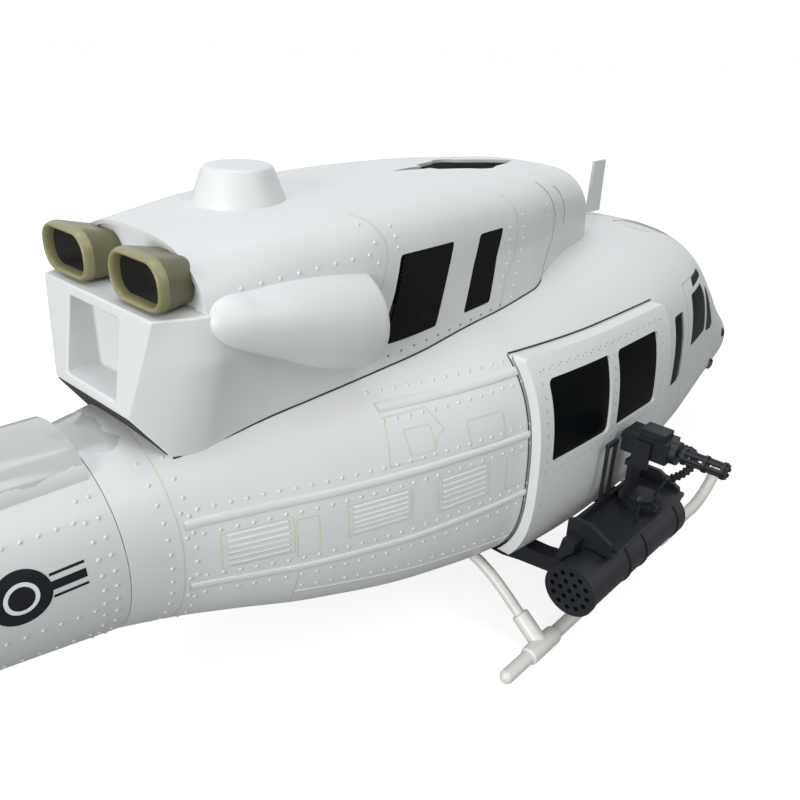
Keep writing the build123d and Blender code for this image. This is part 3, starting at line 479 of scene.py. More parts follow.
def finishes():
    """Every finish by the name of the part's material slot, or of the trim that it is for."""
    c = bpy.context.scene.heli_colours
    return {
        "body_white": finish_material("satin_white", tuple(c.body), 0.46, coat=0.08, tint=0.012, patch=9),
        "paint_with_reflection_patch": lacquer_reflection_material(tuple(c.body)),
        "body_grey": finish_material("satin_grey", tuple(c.box), 0.42, tint=0.02, patch=14),
        "olive": finish_material("olive_moulding", tuple(c.olive), 0.34, tint=0.10, patch=60, relief=0.00005),
        # painted highlight: the lip is the same olive moulding made 1.9 times lighter, for the light on its rounded rim
        "olive_lip_highlight": finish_material("olive_lip_highlight", tuple(k * 1.9 for k in c.olive), 0.36, tint=0.08, patch=60),
        # dark finish of the sooty pipe bores, also used as painted shade: the plate under the box and the shadow gaps
        # along the cowling base and the door edges
        "soot_and_shade": finish_material("sooty_and_shaded_inside", (0.02, 0.019, 0.016), 0.7, tint=0.3, patch=80),
        "mesh_black": weave_material(),
        "dark_glass": finish_material("tinted_pane", (0.003, 0.004, 0.005), 0.3, tint=0.2, relief=0.0, shine=0.02),
        "roof_glass": finish_material("roof_pane", (0.36, 0.38, 0.33), 0.18, coat=0.5, tint=0.05, relief=0.0),
        "gear_white": finish_material("gear_enamel", tuple(c.gear), 0.38, coat=0.15, tint=0.02, patch=30),
        "charcoal": finish_material("charcoal_moulding", tuple(c.stores), 0.44, tint=0.2, patch=70, relief=0.00004,
                                    shine=0.3),
        "plywood": finish_material("birch_ply", (0.55, 0.40, 0.23), 0.6, tint=0.18, patch=50, relief=0.0001),
        "carbon_plate": finish_material("carbon_plate", (0.03, 0.03, 0.035), 0.3, coat=0.4, tint=0.3, patch=400),
        "alloy": finish_material("machined_alloy", (0.62, 0.63, 0.65), 0.32, metallic=1.0, tint=0.04, patch=90),
        "steel": finish_material("ground_steel", (0.55, 0.56, 0.58), 0.22, metallic=1.0, tint=0.03, patch=120),
        "nylon": finish_material("natural_nylon", (0.78, 0.77, 0.70), 0.45, tint=0.03, patch=60),
        "brass": finish_material("turned_brass", (0.66, 0.50, 0.22), 0.28, metallic=1.0, tint=0.05, patch=100),
        "black_plastic": finish_material("black_case", (0.03, 0.03, 0.033), 0.45, tint=0.15, patch=60),
        "pack_wrap": finish_material("shrink_wrap", (0.05, 0.09, 0.18), 0.2, coat=0.4, tint=0.1, patch=40),
        "blade_grey": finish_material("blade_grey", (0.09, 0.09, 0.10), 0.4, tint=0.1, patch=40),
        "panel_line": finish_material("panel_line", (0.62, 0.60, 0.44), 0.6, tint=0.1, patch=120),
        "seam": finish_material("seam_shadow", (0.20, 0.21, 0.21), 0.7, tint=0.2, patch=120),
        "mark_dark": finish_material("mark_dark", (0.010, 0.011, 0.014), 0.5, tint=0.1, patch=60, shine=0.2),
        "mark_pale": finish_material("mark_pale", (0.80, 0.82, 0.83), 0.42, tint=0.02, patch=60),
    }


# ---- outlines ---------------------------------------------------------------
DOOR = (124.5, 243.5, 47, 151)
DOOR_WINDOWS = [(134, 181.5, 101, 141), (188.5, 230.5, 101, 141)]
CREW = [(289, 46), (289, 149), (334, 149), (372, 100), (375, 92), (375, 50), (372, 46)]
CREW_WINDOWS = [[(297, 111), (300, 141), (327, 141), (333, 131), (333, 110)],
                [(337, 108), (337, 137), (342, 134), (360, 107), (358, 104)],
                [(306, 143.2), (308, 148.4), (331, 148.4), (334, 143.2)]]
POST_WINDOW = (265.5, 280.5, 96, 137)
ROOF_WINDOW = (300, 344, 19, 43)
WINDSCREEN = [(4, 117), (4, 160), (46, 156), (55, 140), (59, 122), (50, 116)]
CHIN = [(14, 50), (14, 63), (40, 67), (47, 60), (40, 53)]
MESH = [[(74, 201), (106.5, 201), (96.5, 166), (65, 164)], [(124, 201), (142, 201), (132, 169), (113.5, 167.6)]]


def both(outline, side):
    p = np.asarray(outline, float).copy()
    p[:, 0] *= side
    return p


def fixed_windows():
    """Prisms of every fixed pane, both sides."""
    shapes = []
    for side in (-1, 1):
        low, high = sorted((side * 60, side * 120))
        shapes.append(prism_arrays(rounded_rectangle(*POST_WINDOW, 2), "xz", low, high))
        roof = rounded_rectangle(ROOF_WINDOW[0], ROOF_WINDOW[1], ROOF_WINDOW[2], ROOF_WINDOW[3], 7)
        roof[:, 1] *= side
        shapes.append(prism_arrays(roof, "xy", 140, 200))
        shapes.append(prism_arrays(both(rounded_corners(WINDSCREEN, 5), side), "yz", 346, 480))
        shapes.append(prism_arrays(both(rounded_corners(CHIN, 5), side), "yz", 395, 480))
    return shapes


def hull_belt(x0, x1, lift, depth, rows, around):
    """Ring-shaped wall of the hull between two stations, from lift above the skin to depth below it."""
    xs = np.linspace(x0, x1, rows)
    outer = np.stack([ring_points(HULL, x, -lift, around) for x in xs])
    inner = np.stack([ring_points(HULL, x, depth, around) for x in xs])
    return shell_arrays(outer, inner)


def side_patch(x0, x1, z0, z1, side, lift, depth, nx, nz, table=HULL):
    """Piece of the hull side as y over (x, z), from lift above the skin to depth below it, closed all round."""
    x, z = np.meshgrid(np.linspace(x0, x1, nx), np.linspace(z0, z1, nz), indexing="ij")
    outer = np.stack([x, side * side_y(table, x, z, -lift), z], -1)
    inner = np.stack([x, side * side_y(table, x, z, depth), z], -1)
    return shell_arrays(outer, inner, wrap=False)


def surface_strip(xs, zs, side, table, widths, heights, body_y=None):
    """Moulding that follows a line on the side skin: its section is the given widths (up the skin) and heights
    (off the skin), carried from point to point."""
    xs, zs = np.asarray(xs, float), np.asarray(zs, float)
    run = np.stack([xs, zs], 1)
    t = np.gradient(run, axis=0)
    t /= np.linalg.norm(t, axis=1)[:, None]
    across = np.stack([-t[:, 1], t[:, 0]], 1)
    x = xs[:, None] + across[:, :1] * np.asarray(widths)[None]
    z = zs[:, None] + across[:, 1:] * np.asarray(widths)[None]
    y = (body_y(x, z) if body_y else side_y(table, x, z)) + np.asarray(heights)[None]
    v = np.stack([x, side * y, z], -1)
    faces = grid_faces(len(xs), len(widths))
    if side > 0:
        faces = faces[:, ::-1]
    return v.reshape(-1, 3), [tuple(f) for f in faces]


def path_points(points, step=2.0):
    """Straight runs between the points, cut into steps."""
    p = np.asarray(points, float)
    length = np.concatenate([[0], np.cumsum(np.linalg.norm(np.diff(p, axis=0), axis=1))])
    n = max(3, int(length[-1] / step) + 1)
    at = np.linspace(0, length[-1], n)
    return np.interp(at, length, p[:, 0]), np.interp(at, length, p[:, 1])


def rivet_arrays(centres, normals, radius, height):
    """Low domes: rings of eight at full and 0.72 radius and a pole, set square to each normal."""
    c, n = np.asarray(centres, float), np.asarray(normals, float)
    n = n / np.linalg.norm(n, axis=1)[:, None]
    guide = np.where(np.abs(n[:, :1]) < 0.9, np.array([[1.0, 0, 0]]), np.array([[0, 0, 1.0]]))
    u = np.cross(n, guide)
    u /= np.linalg.norm(u, axis=1)[:, None]
    w = np.cross(n, u)
    a = np.linspace(0, 2 * np.pi, 8, endpoint=False)
    ring = u[:, None] * np.cos(a)[None, :, None] + w[:, None] * np.sin(a)[None, :, None]
    low = c[:, None] + ring * radius - n[:, None] * 0.15
    mid = c[:, None] + ring * radius * 0.72 + n[:, None] * height * 0.7
    pole = c[:, None] + n[:, None] * height
    v = np.concatenate([low, mid, pole], 1)
    k = np.arange(8)
    m = (k + 1) % 8
    one = np.concatenate([
        np.stack([k, m, 8 + m], 1), np.stack([k, 8 + m, 8 + k], 1), np.stack([8 + k, 8 + m, np.full(8, 16)], 1)])
    faces = (one[None] + (np.arange(len(c)) * 17)[:, None, None]).reshape(-1, 3)
    return v.reshape(-1, 3), faces


def side_rivets(points, side, table, body_y=None):
    """Centres and normals on the side skin at (x, z) points; the normal comes from small steps each way."""
    p = np.asarray(points, float)
    x, z = p[:, 0], p[:, 1]
    width = body_y or (lambda a, b: side_y(table, a, b))
    y = width(x, z)
    dx = (width(x + 0.5, z) - width(x - 0.5, z))
    dz = (width(x, z + 0.5) - width(x, z - 0.5))
    normal = np.stack([-dx, side * np.ones_like(x), -dz], 1)
    return np.stack([x, side * y, z], 1), normal


def row_of(points, pitch=5.7):
    x, z = path_points(points, pitch)
    return np.stack([x, z], 1)


# ---- settings ---------------------------------------------------------------
class HeliColours(bpy.types.PropertyGroup):
    """Colours that a user may change."""
    body: bpy.props.FloatVectorProperty(name="Body", description="Main paint", subtype="COLOR", size=3, min=0, max=1,
                                        default=(0.66, 0.675, 0.67))
    box: bpy.props.FloatVectorProperty(name="Exhaust box", description="Paint of the exhaust box", subtype="COLOR",
                                       size=3, min=0, max=1, default=(0.66, 0.675, 0.67))
    olive: bpy.props.FloatVectorProperty(name="Exhaust pipes", description="Moulded olive", subtype="COLOR", size=3,
                                         min=0, max=1, default=(0.13, 0.122, 0.058))
    gear: bpy.props.FloatVectorProperty(name="Landing gear", description="Skid enamel", subtype="COLOR", size=3,
                                        min=0, max=1, default=(0.72, 0.70, 0.66))
    stores: bpy.props.FloatVectorProperty(name="Stores", description="Charcoal mouldings", subtype="COLOR", size=3,
                                          min=0, max=1, default=(0.011, 0.013, 0.017))


class HeliSizes(bpy.types.PropertyGroup):
    """Sizes that a user may change."""
    rivet: bpy.props.FloatProperty(name="Rivet", description="Rivet head diameter in millimetres", default=1.7,
                                   min=0.5, max=3)
    pitch: bpy.props.FloatProperty(name="Rivet pitch", description="Distance between rivets in millimetres",
                                   default=5.7, min=3, max=20)
    rows: bpy.props.IntProperty(name="Hull rows", description="Rings along the hull skin", default=230, min=60,
                                max=500)
    around: bpy.props.IntProperty(name="Hull columns", description="Corners round each ring", default=150, min=60,
                                  max=400)


# ---- operators --------------------------------------------------------------
class HELI_OT_stage(bpy.types.Operator):
    """Floor, lamps, white background and the camera"""
    bl_idname = "heli.stage"
    bl_label = "Stage"

    def execute(self, context):
        scene = context.scene
        scene.view_settings.view_transform = "Standard"
        world = bpy.data.worlds.new("pale_room")
        scene.world = world
        world.use_nodes = True
        tree = world.node_tree
        out = tree.nodes["World Output"]
        plain = tree.nodes["Background"]
        plain.inputs["Color"].default_value = (0.95, 0.98, 1.0, 1)
        plain.inputs["Strength"].default_value = 0.40
        white = tree.nodes.new("ShaderNodeBackground")
        white.inputs["Color"].default_value = (1, 1, 1, 1)
        path = tree.nodes.new("ShaderNodeLightPath")
        mix = tree.nodes.new("ShaderNodeMixShader")
        seen = calculated(tree, "MAXIMUM", path.outputs["Is Camera Ray"], path.outputs["Is Transmission Ray"])
        tree.links.new(calculated(tree, "MAXIMUM", seen, path.outputs["Is Glossy Ray"]), mix.inputs["Fac"])
        tree.links.new(plain.outputs[0], mix.inputs[1])
        tree.links.new(white.outputs[0], mix.inputs[2])
        tree.links.new(mix.outputs[0], out.inputs["Surface"])
        far = 9000
        floor = mesh_piece("floor", [(-far, -far, -0.4), (far, -far, -0.4), (far, far, -0.4), (-far, far, -0.4)],
                           [(0, 1, 2, 3)], None, body=None, smooth=0)
        pale = bpy.data.materials.new("pale_floor")
        pale.use_nodes = True
        tree = pale.node_tree
        shader = tree.nodes["Principled BSDF"]
        shader.inputs["Base Color"].default_value = (0.35, 0.35, 0.35, 1)
        shader.inputs["Roughness"].default_value = 0.9
        shader.inputs["Specular IOR Level"].default_value = 0.1
        glow = tree.nodes.new("ShaderNodeEmission")
        glow.inputs["Color"].default_value = (1, 1, 1, 1)
        glow.inputs["Strength"].default_value = 0.82
        add = tree.nodes.new("ShaderNodeAddShader")
        tree.links.new(shader.outputs[0], add.inputs[0])
        tree.links.new(glow.outputs[0], add.inputs[1])
        path = tree.nodes.new("ShaderNodeLightPath")
        mix = tree.nodes.new("ShaderNodeMixShader")
        tree.links.new(path.outputs["Is Camera Ray"], mix.inputs["Fac"])
        tree.links.new(shader.outputs[0], mix.inputs[1])
        tree.links.new(add.outputs[0], mix.inputs[2])
        tree.links.new(mix.outputs[0], tree.nodes["Material Output"].inputs["Surface"])
        floor.data.materials.append(pale)
        for name, place, aim, size, watts, tone in (
            ("top_lamp", (-0.1, 0.15, 1.9), (0.0, 0, 0.1), 1.3, 15.0, (0.88, 0.94, 1.0)),
            ("rear_lamp", (-1.7, -0.25, 0.5), (0.1, 0, 0.12), 0.9, 23.0, (1.0, 1.0, 1.0)),
            ("side_lamp", (0.2, -1.4, 1.6), (0.1, 0, 0.1), 0.8, 9.0, (1.0, 0.99, 0.96)),
        ):
            lamp = bpy.data.lights.new(name, "AREA")
            lamp.energy = watts
            lamp.color = tone
            lamp.size = size
            holder = bpy.data.objects.new(name, lamp)
            holder.location = place
            holder.rotation_euler = (Vector(aim) - Vector(place)).to_track_quat("-Z", "Y").to_euler()
            scene.collection.objects.link(holder)
        az, el, roll = np.radians((41.67, -25.89, 1.98))
        ahead = np.array([np.cos(el) * np.cos(az), np.cos(el) * np.sin(az), np.sin(el)])
        right = np.cross(ahead, [0, 0, 1.0])
        right /= np.linalg.norm(right)
        up = np.cross(right, ahead)
        right, up = np.cos(roll) * right + np.sin(roll) * up, np.cos(roll) * up - np.sin(roll) * right
        lens = bpy.data.cameras.new("camera")
        lens.lens = 36.09
        lens.sensor_width = 36.0
        lens.clip_start = 0.01
        camera = bpy.data.objects.new("camera", lens)
        turn = Matrix(np.stack([right, up, -ahead], 1).tolist()).to_4x4()
        camera.matrix_world = Matrix.Translation((-0.1526, -0.2554, 0.2863)) @ turn
        scene.collection.objects.link(camera)
        scene.camera = camera
        return {"FINISHED"}


class HELI_OT_hull(bpy.types.Operator):
    """Hull skin with its window, door and roof openings"""
    bl_idname = "heli.hull"
    bl_label = "Hull skin"

    def execute(self, context):
        sizes, paint = context.scene.heli_sizes, finishes()
        t = np.linspace(0, 1, sizes.rows)
        xs = -47 + (466.5 + 47) * (t + 0.10 * np.sin(np.pi * t) * t)
        xs = np.append(xs[xs < 465], [465.5, 467, 468])
        outer = np.stack([ring_points(HULL, x, 0, sizes.around) for x in xs])
        inner = np.stack([ring_points(HULL, min(x, 464), 1.5, sizes.around) for x in xs])
        inner[:, :, 0] = np.minimum(xs, 466)[:, None]
        v, f = shell_arrays(outer, inner)
        n = sizes.around
        last = (len(xs) - 1) * n
        caps = [tuple(last + k for k in range(n)), tuple(len(xs) * n + last + k for k in range(n))[::-1]]
        faces = [tuple(q) for q in f[:-n].tolist()] + caps
        hull = mesh_piece("hull_skin", v, faces, paint["paint_with_reflection_patch"], "airframe", "body_white")
        outward(hull)
        carve(hull, fixed_windows())
        doors, crews = [], []
        for side in (-1, 1):
            low, high = sorted((side * 60, side * 130))
            doors.append(prism_arrays(rounded_rectangle(DOOR[0] + 8, DOOR[1] - 8, DOOR[2] + 8, DOOR[3] - 8, 6), "xz",
                                      low, high))
            low, high = sorted((side * 45, side * 130))
            crews.append(prism_arrays(CREW, "xz", low, high))
        doors.append(prism_arrays(rounded_rectangle(100, 220, -28, 28, 10), "xy", 150, 200))
        carve(hull, doors)
        carve(hull, crews)
        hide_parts("cabin_shell")
        return {"FINISHED"}


class HELI_OT_tail(bpy.types.Operator):
    """Tail boom, spine cover, fin, stabiliser and tail skid"""
    bl_idname = "heli.tail"
    bl_label = "Tail"

    def execute(self, context):
        paint = finishes()
        xs = np.linspace(-424, -47.3, 150)
        outer = np.stack([ring_points(BOOM, x, 0, 110) for x in xs])
        inner = np.stack([ring_points(BOOM, x, 1.5, 110) for x in xs])
        boom = outward(mesh_piece("boom_skin", *shell_arrays(outer, inner), paint["paint_with_reflection_patch"], "airframe",
                                  "body_white"))
        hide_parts("tail_boom")
        xs = np.linspace(-368, -49, 90)
        a = np.linspace(0, np.pi, 41)
        base, top, half = (along(SPINE, k, xs)[:, None] for k in (1, 2, 3))
        v = np.stack([np.broadcast_to(xs[:, None], (90, 41)), half * np.cos(a), base - 4 + (top - base + 4) * np.sin(a)
                      ** 0.9], -1)
        faces = [tuple(q) for q in grid_faces(90, 41).tolist()]
        faces += [tuple(range(41)), tuple(89 * 41 + k for k in range(41))[::-1]]
        bottom = [(k * 41, k * 41 + 40, (k + 1) * 41 + 40, (k + 1) * 41) for k in range(89)]
        spine = outward(mesh_piece("spine_skin", v.reshape(-1, 3), faces + bottom, paint["paint_with_reflection_patch"], "airframe",
                                   "body_white"))
        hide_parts("spine_cover")
        smooth_node("tail_fin", paint["body_white"], "body_white", bevel=1.2)
        smooth_node("stabiliser", paint["body_white"], "body_white")
        smooth_node("tail_skid", paint["gear_white"], "gear_white")
        smooth_node("tail_blades", paint["blade_grey"], "blade_grey")
        smooth_node("tail_hub", paint["alloy"], "alloy")
        return {"FINISHED"}


class HELI_OT_cowling(bpy.types.Operator):
    """Upper cowling with its screens, mast opening, dome and side fairings"""
    bl_idname = "heli.cowling"
    bl_label = "Cowling"

    def execute(self, context):
        paint = finishes()
        t = np.linspace(0, 1, 150)
        xs = -10 + 280 * (t + 0.10 * np.sin(np.pi * t) * t)
        outer = np.stack([cowl_ring(x, 0, 121) for x in xs])
        inner = np.stack([cowl_ring(x, 1.5, 121) for x in xs])
        v, f = shell_arrays(outer, inner, wrap=False)
        cowl = outward(mesh_piece("cowling_skin", v, f, paint["body_white"], "airframe", "body_white"))
        shapes = []
        for outline in MESH:
            shapes.append(prism_arrays(rounded_corners(outline, 2.0), "xz", -90, -20))
            shapes.append(prism_arrays(rounded_corners(outline, 2.0), "xz", 20, 90))
        front, back, r = 218, 139, 16
        a = np.linspace(0.86, 2.28, 14)
        half = np.concatenate([[(front, 0.4)], [(front - 14, 7)], np.stack([176 + r * np.cos(a), r * np.sin(a)], 1),
                               [(back + 9, 7), (back + 8, 3), (back, 3), (125, 0.4)]])
        shapes.append(prism_arrays(np.concatenate([half, half[::-1] * [1, -1]]), "xy", 198, 240))
        carve(cowl, shapes)
        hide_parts("engine_cowl")
        nose = outward(mesh_piece("cowling_nose", np.concatenate([outer[-1], outer[-1] - [1.5, 0, 0]]),
                                  disc_faces(121),
                                  paint["body_white"], "airframe", "body_white"))
        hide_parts("engine_cowl")
        back = np.stack([cowl_ring(x, 1.7, 121) for x in (-9.0, -7.0)])
        outward(mesh_piece("cowling_rear_wall", back.reshape(-1, 3),
                                  disc_faces(121),
                                  paint["body_white"], "airframe", "body_grey"))
        smooth_node("mesh_screens", paint["mesh_black"], "mesh_black")
        # dome: cone frustum with a rounded rim, turned about its own upright axis
        profile = np.array([(18.6, 214), (18.3, 218.5), (17.9, 220), (13.9, 230.2), (13.3, 231.4), (12.2, 232.0),
                            (8, 232.3), (0.01, 232.4)])
        fine = np.linspace(0, len(profile) - 1, 40)
        r = np.interp(fine, np.arange(len(profile)), profile[:, 0])
        z = np.interp(fine, np.arange(len(profile)), profile[:, 1])
        a = np.linspace(0, 2 * np.pi, 72, endpoint=False)
        v = np.stack([37 + r[:, None] * np.cos(a), r[:, None] * np.sin(a), np.broadcast_to(z[:, None], (40, 72))], -1)
        dome = outward(mesh_piece("dome_skin", v.reshape(-1, 3), [tuple(q) for q in grid_faces(40, 72, True).tolist()]
                                  + [tuple(range(72))[::-1], tuple(39 * 72 + k for k in range(72))],
                                  paint["body_white"], "airframe", "body_white", smooth=60))
        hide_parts("intake_dome")
        for side, name in ((-1, "right"), (1, "left")):
            # fairing: half-ellipse sections, a blunt small rear tip swelling to a broad, almost flat front
            shape = np.array([
                (-10.5, 42.5, 0.8, 190.5), (-10.2, 44.2, 3.2, 190.5), (-9.4, 45.6, 5.2, 190.5),
                (-8, 47.2, 7.2, 190.4), (-5, 49.4, 9.2, 190), (0, 51.9, 10.9, 189.3),
                (6, 54, 12.2, 188), (20, 58, 15.8, 185.3), (36, 61.5, 19.6, 181.3), (48, 63, 21.4, 179),
                (55.5, 63.3, 22, 178), (56.6, 62.9, 21.7, 178), (57.2, 62, 20.8, 178), (57.4, 60.5, 19.4, 178)])
            x = np.unique(np.concatenate([np.linspace(-10.5, 56, 52),
                                          [-10.4, -10.2, -9.9, -9.6, -9.2, -8.6, 56.6, 57, 57.2, 57.4]]))
            reach, height, middle = (along(shape, k, x) for k in (1, 2, 3))
            rows = len(x)
            a = np.linspace(-np.pi / 2, np.pi / 2, 41)
            inner_y = 36.0
            y = inner_y + (reach[:, None] - inner_y) * np.cos(a) ** 0.85
            z = middle[:, None] + height[:, None] * np.sin(a)
            v = np.stack([np.broadcast_to(x[:, None], y.shape), side * y, z], -1)
            faces = [tuple(q) for q in grid_faces(rows, 41).tolist()]
            faces += [tuple(range(41)), tuple((rows - 1) * 41 + k for k in range(41))[::-1]]
            faces += [(k * 41, k * 41 + 40, (k + 1) * 41 + 40, (k + 1) * 41) for k in range(rows - 1)]
            fairing = outward(mesh_piece(f"fairing_skin_{name}", v.reshape(-1, 3), faces, paint["body_white"],
                                         "airframe", "body_white", smooth=50))
            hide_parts(f"side_fairing_{name}")
        return {"FINISHED"}


class HELI_OT_exhausts(bpy.types.Operator):
    """Exhaust pipes with rounded lips, and the box below them"""
    bl_idname = "heli.exhausts"
    bl_label = "Exhausts"

    def execute(self, context):
        paint = finishes()
        # flat-sided box whose side eases over a 12 mm wide bend into the cowling's flank and dips under it
        t = np.linspace(0, 1, 33)
        rear = -33.6 + 6.6 * t

        def flank(x, z):
            """Half width: straight from the rear edge to x = -11.5, then the cowling's own."""
            def skin(at):
                return cowl_y(at, np.maximum(z, along(COWL, 1, at) + 0.2), 0)
            share = (x - rear) / (-11.5 - rear)
            edge = 25.3 + (36 - 25.3) * t
            return np.where(x < -11.5, edge + (skin(np.full(33, -10.0)) - edge) * share, skin(np.maximum(x, -10.0)))

        rows = []
        for k in np.linspace(0, 1, 26):
            x = rear + (17 - rear) * k
            low = np.interp(rear[0] + (17 - rear[0]) * k, [-33.6, -20, -10, 14, 17], [158.2, 138.5, 138.9, 143.2, 144])
            z = low + (194.4 - low) * t
            ease = np.mean([flank(x + u, z) for u in np.linspace(-6, 6, 13)], axis=0)
            tuck = np.interp(x, [-33, -26, -14, -9, -3, 6, 14, 17], [0, 0, 0.8, 0.95, 0.45, 0.1, 0.03, -0.2])
            rows.append(np.stack([x, ease + tuck, z], 1))
        side_grid = np.stack(rows)
        loop = np.concatenate([side_grid, side_grid[:, ::-1] * [1, -1, 1]], 1)
        faces = [tuple(q) for q in grid_faces(26, 66, True).tolist()] + [tuple(range(66))[::-1],
                                                                       tuple(25 * 66 + k for k in range(66))]
        box = outward(mesh_piece("box_skin", loop.reshape(-1, 3), faces, paint["body_grey"], "airframe", "body_grey",
                                 smooth=25))
        carve(box, [prism_arrays(rounded_rectangle(-17, 17, 161.5, 190.5, 1.2), "yz", -45, -19)], smooth=25)
        edge = box.modifiers.new("edge", "BEVEL")
        edge.width = 0.0007
        edge.segments = 2
        edge.limit_method = "ANGLE"
        edge.angle_limit = np.radians(45)
        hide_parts("exhaust_box")
        # painted shade: a thin dark plate just below the box's sloping underside stands for the shade beneath it
        v = [(x, y, 158.2 - 1.4485 * (x + 33.6) - 0.6) for x, w in ((-33.2, 24.8), (-20.3, 28.4)) for y in (-w, w)]
        mesh_piece("box_underside_shade", v + [(x + 0.3, y, z + 0.3) for x, y, z in v],
                   [(0, 1, 3, 2), (4, 6, 7, 5), (0, 4, 5, 1), (2, 3, 7, 6), (0, 2, 6, 4), (1, 5, 7, 3)],
                   paint["soot_and_shade"], "airframe", "body_grey")
        for side, name in ((-1, "right"), (1, "left")):
            def ring(x, w, h, r, middle=23.4, level=204.6):
                p = rounded_rectangle(-w / 2, w / 2, -h / 2, h / 2, r, 9)
                return np.stack([np.full(len(p), float(x)), side * middle + p[:, 0], level + p[:, 1]], 1)
            a = np.linspace(0, np.pi, 15)
            body = [(-6, 25, 16, 7, 21.6, 203), (-12, 27.5, 17, 7.2, 22.2, 203.6), (-18, 30.8, 18.4, 8, 23.1, 204.3),
                    (-21, 32.2, 19, 8.4)]
            lip = [(-21 - 3.6 * np.sin(k), 29.6 + 2.6 * np.cos(k), 16.4 + 2.6 * np.cos(k), 7.1 + 1.3 * np.cos(k))
                   for k in a]
            inside = [(-21, 27, 13.8, 5.8), (-14, 24, 13, 5.4, 22.6, 204), (-6.5, 21, 12, 5, 21.6, 203)]
            for label, rows, finish in (("pipe", body, "olive"), ("pipe_lip", lip, "olive_lip_highlight"),
                                        ("pipe_bore", inside, "soot_and_shade")):
                v = np.stack([ring(*row) for row in rows])
                n = v.shape[1]
                faces = [tuple(q) for q in grid_faces(len(rows), n, True).tolist()]
                if label == "pipe_bore":
                    faces.append(tuple((len(rows) - 1) * n + k for k in range(n)))
                piece = mesh_piece(f"{label}_{name}", v.reshape(-1, 3), faces, paint[finish], "airframe", "olive",
                                   smooth=60)
                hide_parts(f"exhaust_pipe_{name}")
        return {"FINISHED"}


class HELI_OT_panes(bpy.types.Operator):
    """Fixed panes of the post, roof, windscreen and chin"""
    bl_idname = "heli.panes"
    bl_label = "Fixed panes"

    def execute(self, context):
        paint = finishes()
        for label, x0, x1, pick, finish in (("post_panes", 262, 278, 0, "dark_glass"),
                                            ("roof_panes", 297, 347, 1, "roof_glass"),
                                            ("windscreen_panes", 345, 430, 2, "dark_glass"),
                                            ("chin_panes", 394, 466, 3, "dark_glass")):
            v, f = hull_belt(x0, x1, -0.35, 1.3, 40, 150)
            piece = outward(mesh_piece(label, v, f, paint[finish], "airframe", "dark_glass"))
            shapes = fixed_windows()
            carve(piece, [shapes[pick], shapes[pick + 4]], keep=True)
            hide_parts("fixed_glazing")
        return {"FINISHED"}


class HELI_OT_doors(bpy.types.Operator):
    """Sliding and crew doors with their panes"""
    bl_idname = "heli.doors"
    bl_label = "Doors"

    def execute(self, context):
        paint = finishes()
        for side, name in ((-1, "right"), (1, "left")):
            low, high = sorted((side * 50, side * 130))
            v, f = side_patch(DOOR[0] - 4, DOOR[1] + 4, DOOR[2] - 3, DOOR[3] + 3, side, 5.9, -1.2, 60, 50)
            door = outward(mesh_piece(f"slide_door_skin_{name}", v, f, paint["body_white"],
                                      f"slide_door_body_{name}", "body_white"))
            carve(door, [prism_arrays(rounded_rectangle(*DOOR, 2.2), "xz", low, high)], keep=True)
            carve(door, [prism_arrays(rounded_rectangle(*w, 3), "xz", low, high) for w in DOOR_WINDOWS])
            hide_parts(f"slide_door_{name}")
            v, f = side_patch(DOOR[0] + 5, DOOR[1] - 6, 96, 146, side, 4.4, -3.2, 40, 24)
            pane = outward(mesh_piece(f"slide_pane_{name}", v, f, paint["dark_glass"], f"slide_door_body_{name}",
                                      "dark_glass"))
            carve(pane, [prism_arrays(rounded_rectangle(*w, 3), "xz", low, high) for w in DOOR_WINDOWS], keep=True)
            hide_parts(f"slide_glass_{name}")
            v, f = side_patch(284, 380, 42, 153, side, 0, 1.5, 60, 60)
            door = outward(mesh_piece(f"crew_door_skin_{name}", v, f, paint["body_white"], f"crew_door_body_{name}",
                                      "body_white"))
            inner = np.asarray(CREW, float)
            middle = inner.mean(0)
            inner = middle + (inner - middle) * (1 - 0.4 / 48)
            carve(door, [prism_arrays(inner, "xz", low, high)], keep=True)
            carve(door, [prism_arrays(rounded_corners(w, 2.2), "xz", low, high) for w in CREW_WINDOWS])
            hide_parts(f"crew_door_{name}")
            v, f = side_patch(292, 366, 100, 148.8, side, -0.35, 1.3, 50, 30)
            pane = outward(mesh_piece(f"crew_pane_{name}", v, f, paint["dark_glass"], f"crew_door_body_{name}",
                                      "dark_glass"))
            carve(pane, [prism_arrays(rounded_corners(w, 2.2), "xz", low, high) for w in CREW_WINDOWS], keep=True)
            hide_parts(f"crew_glass_{name}")
        return {"FINISHED"}


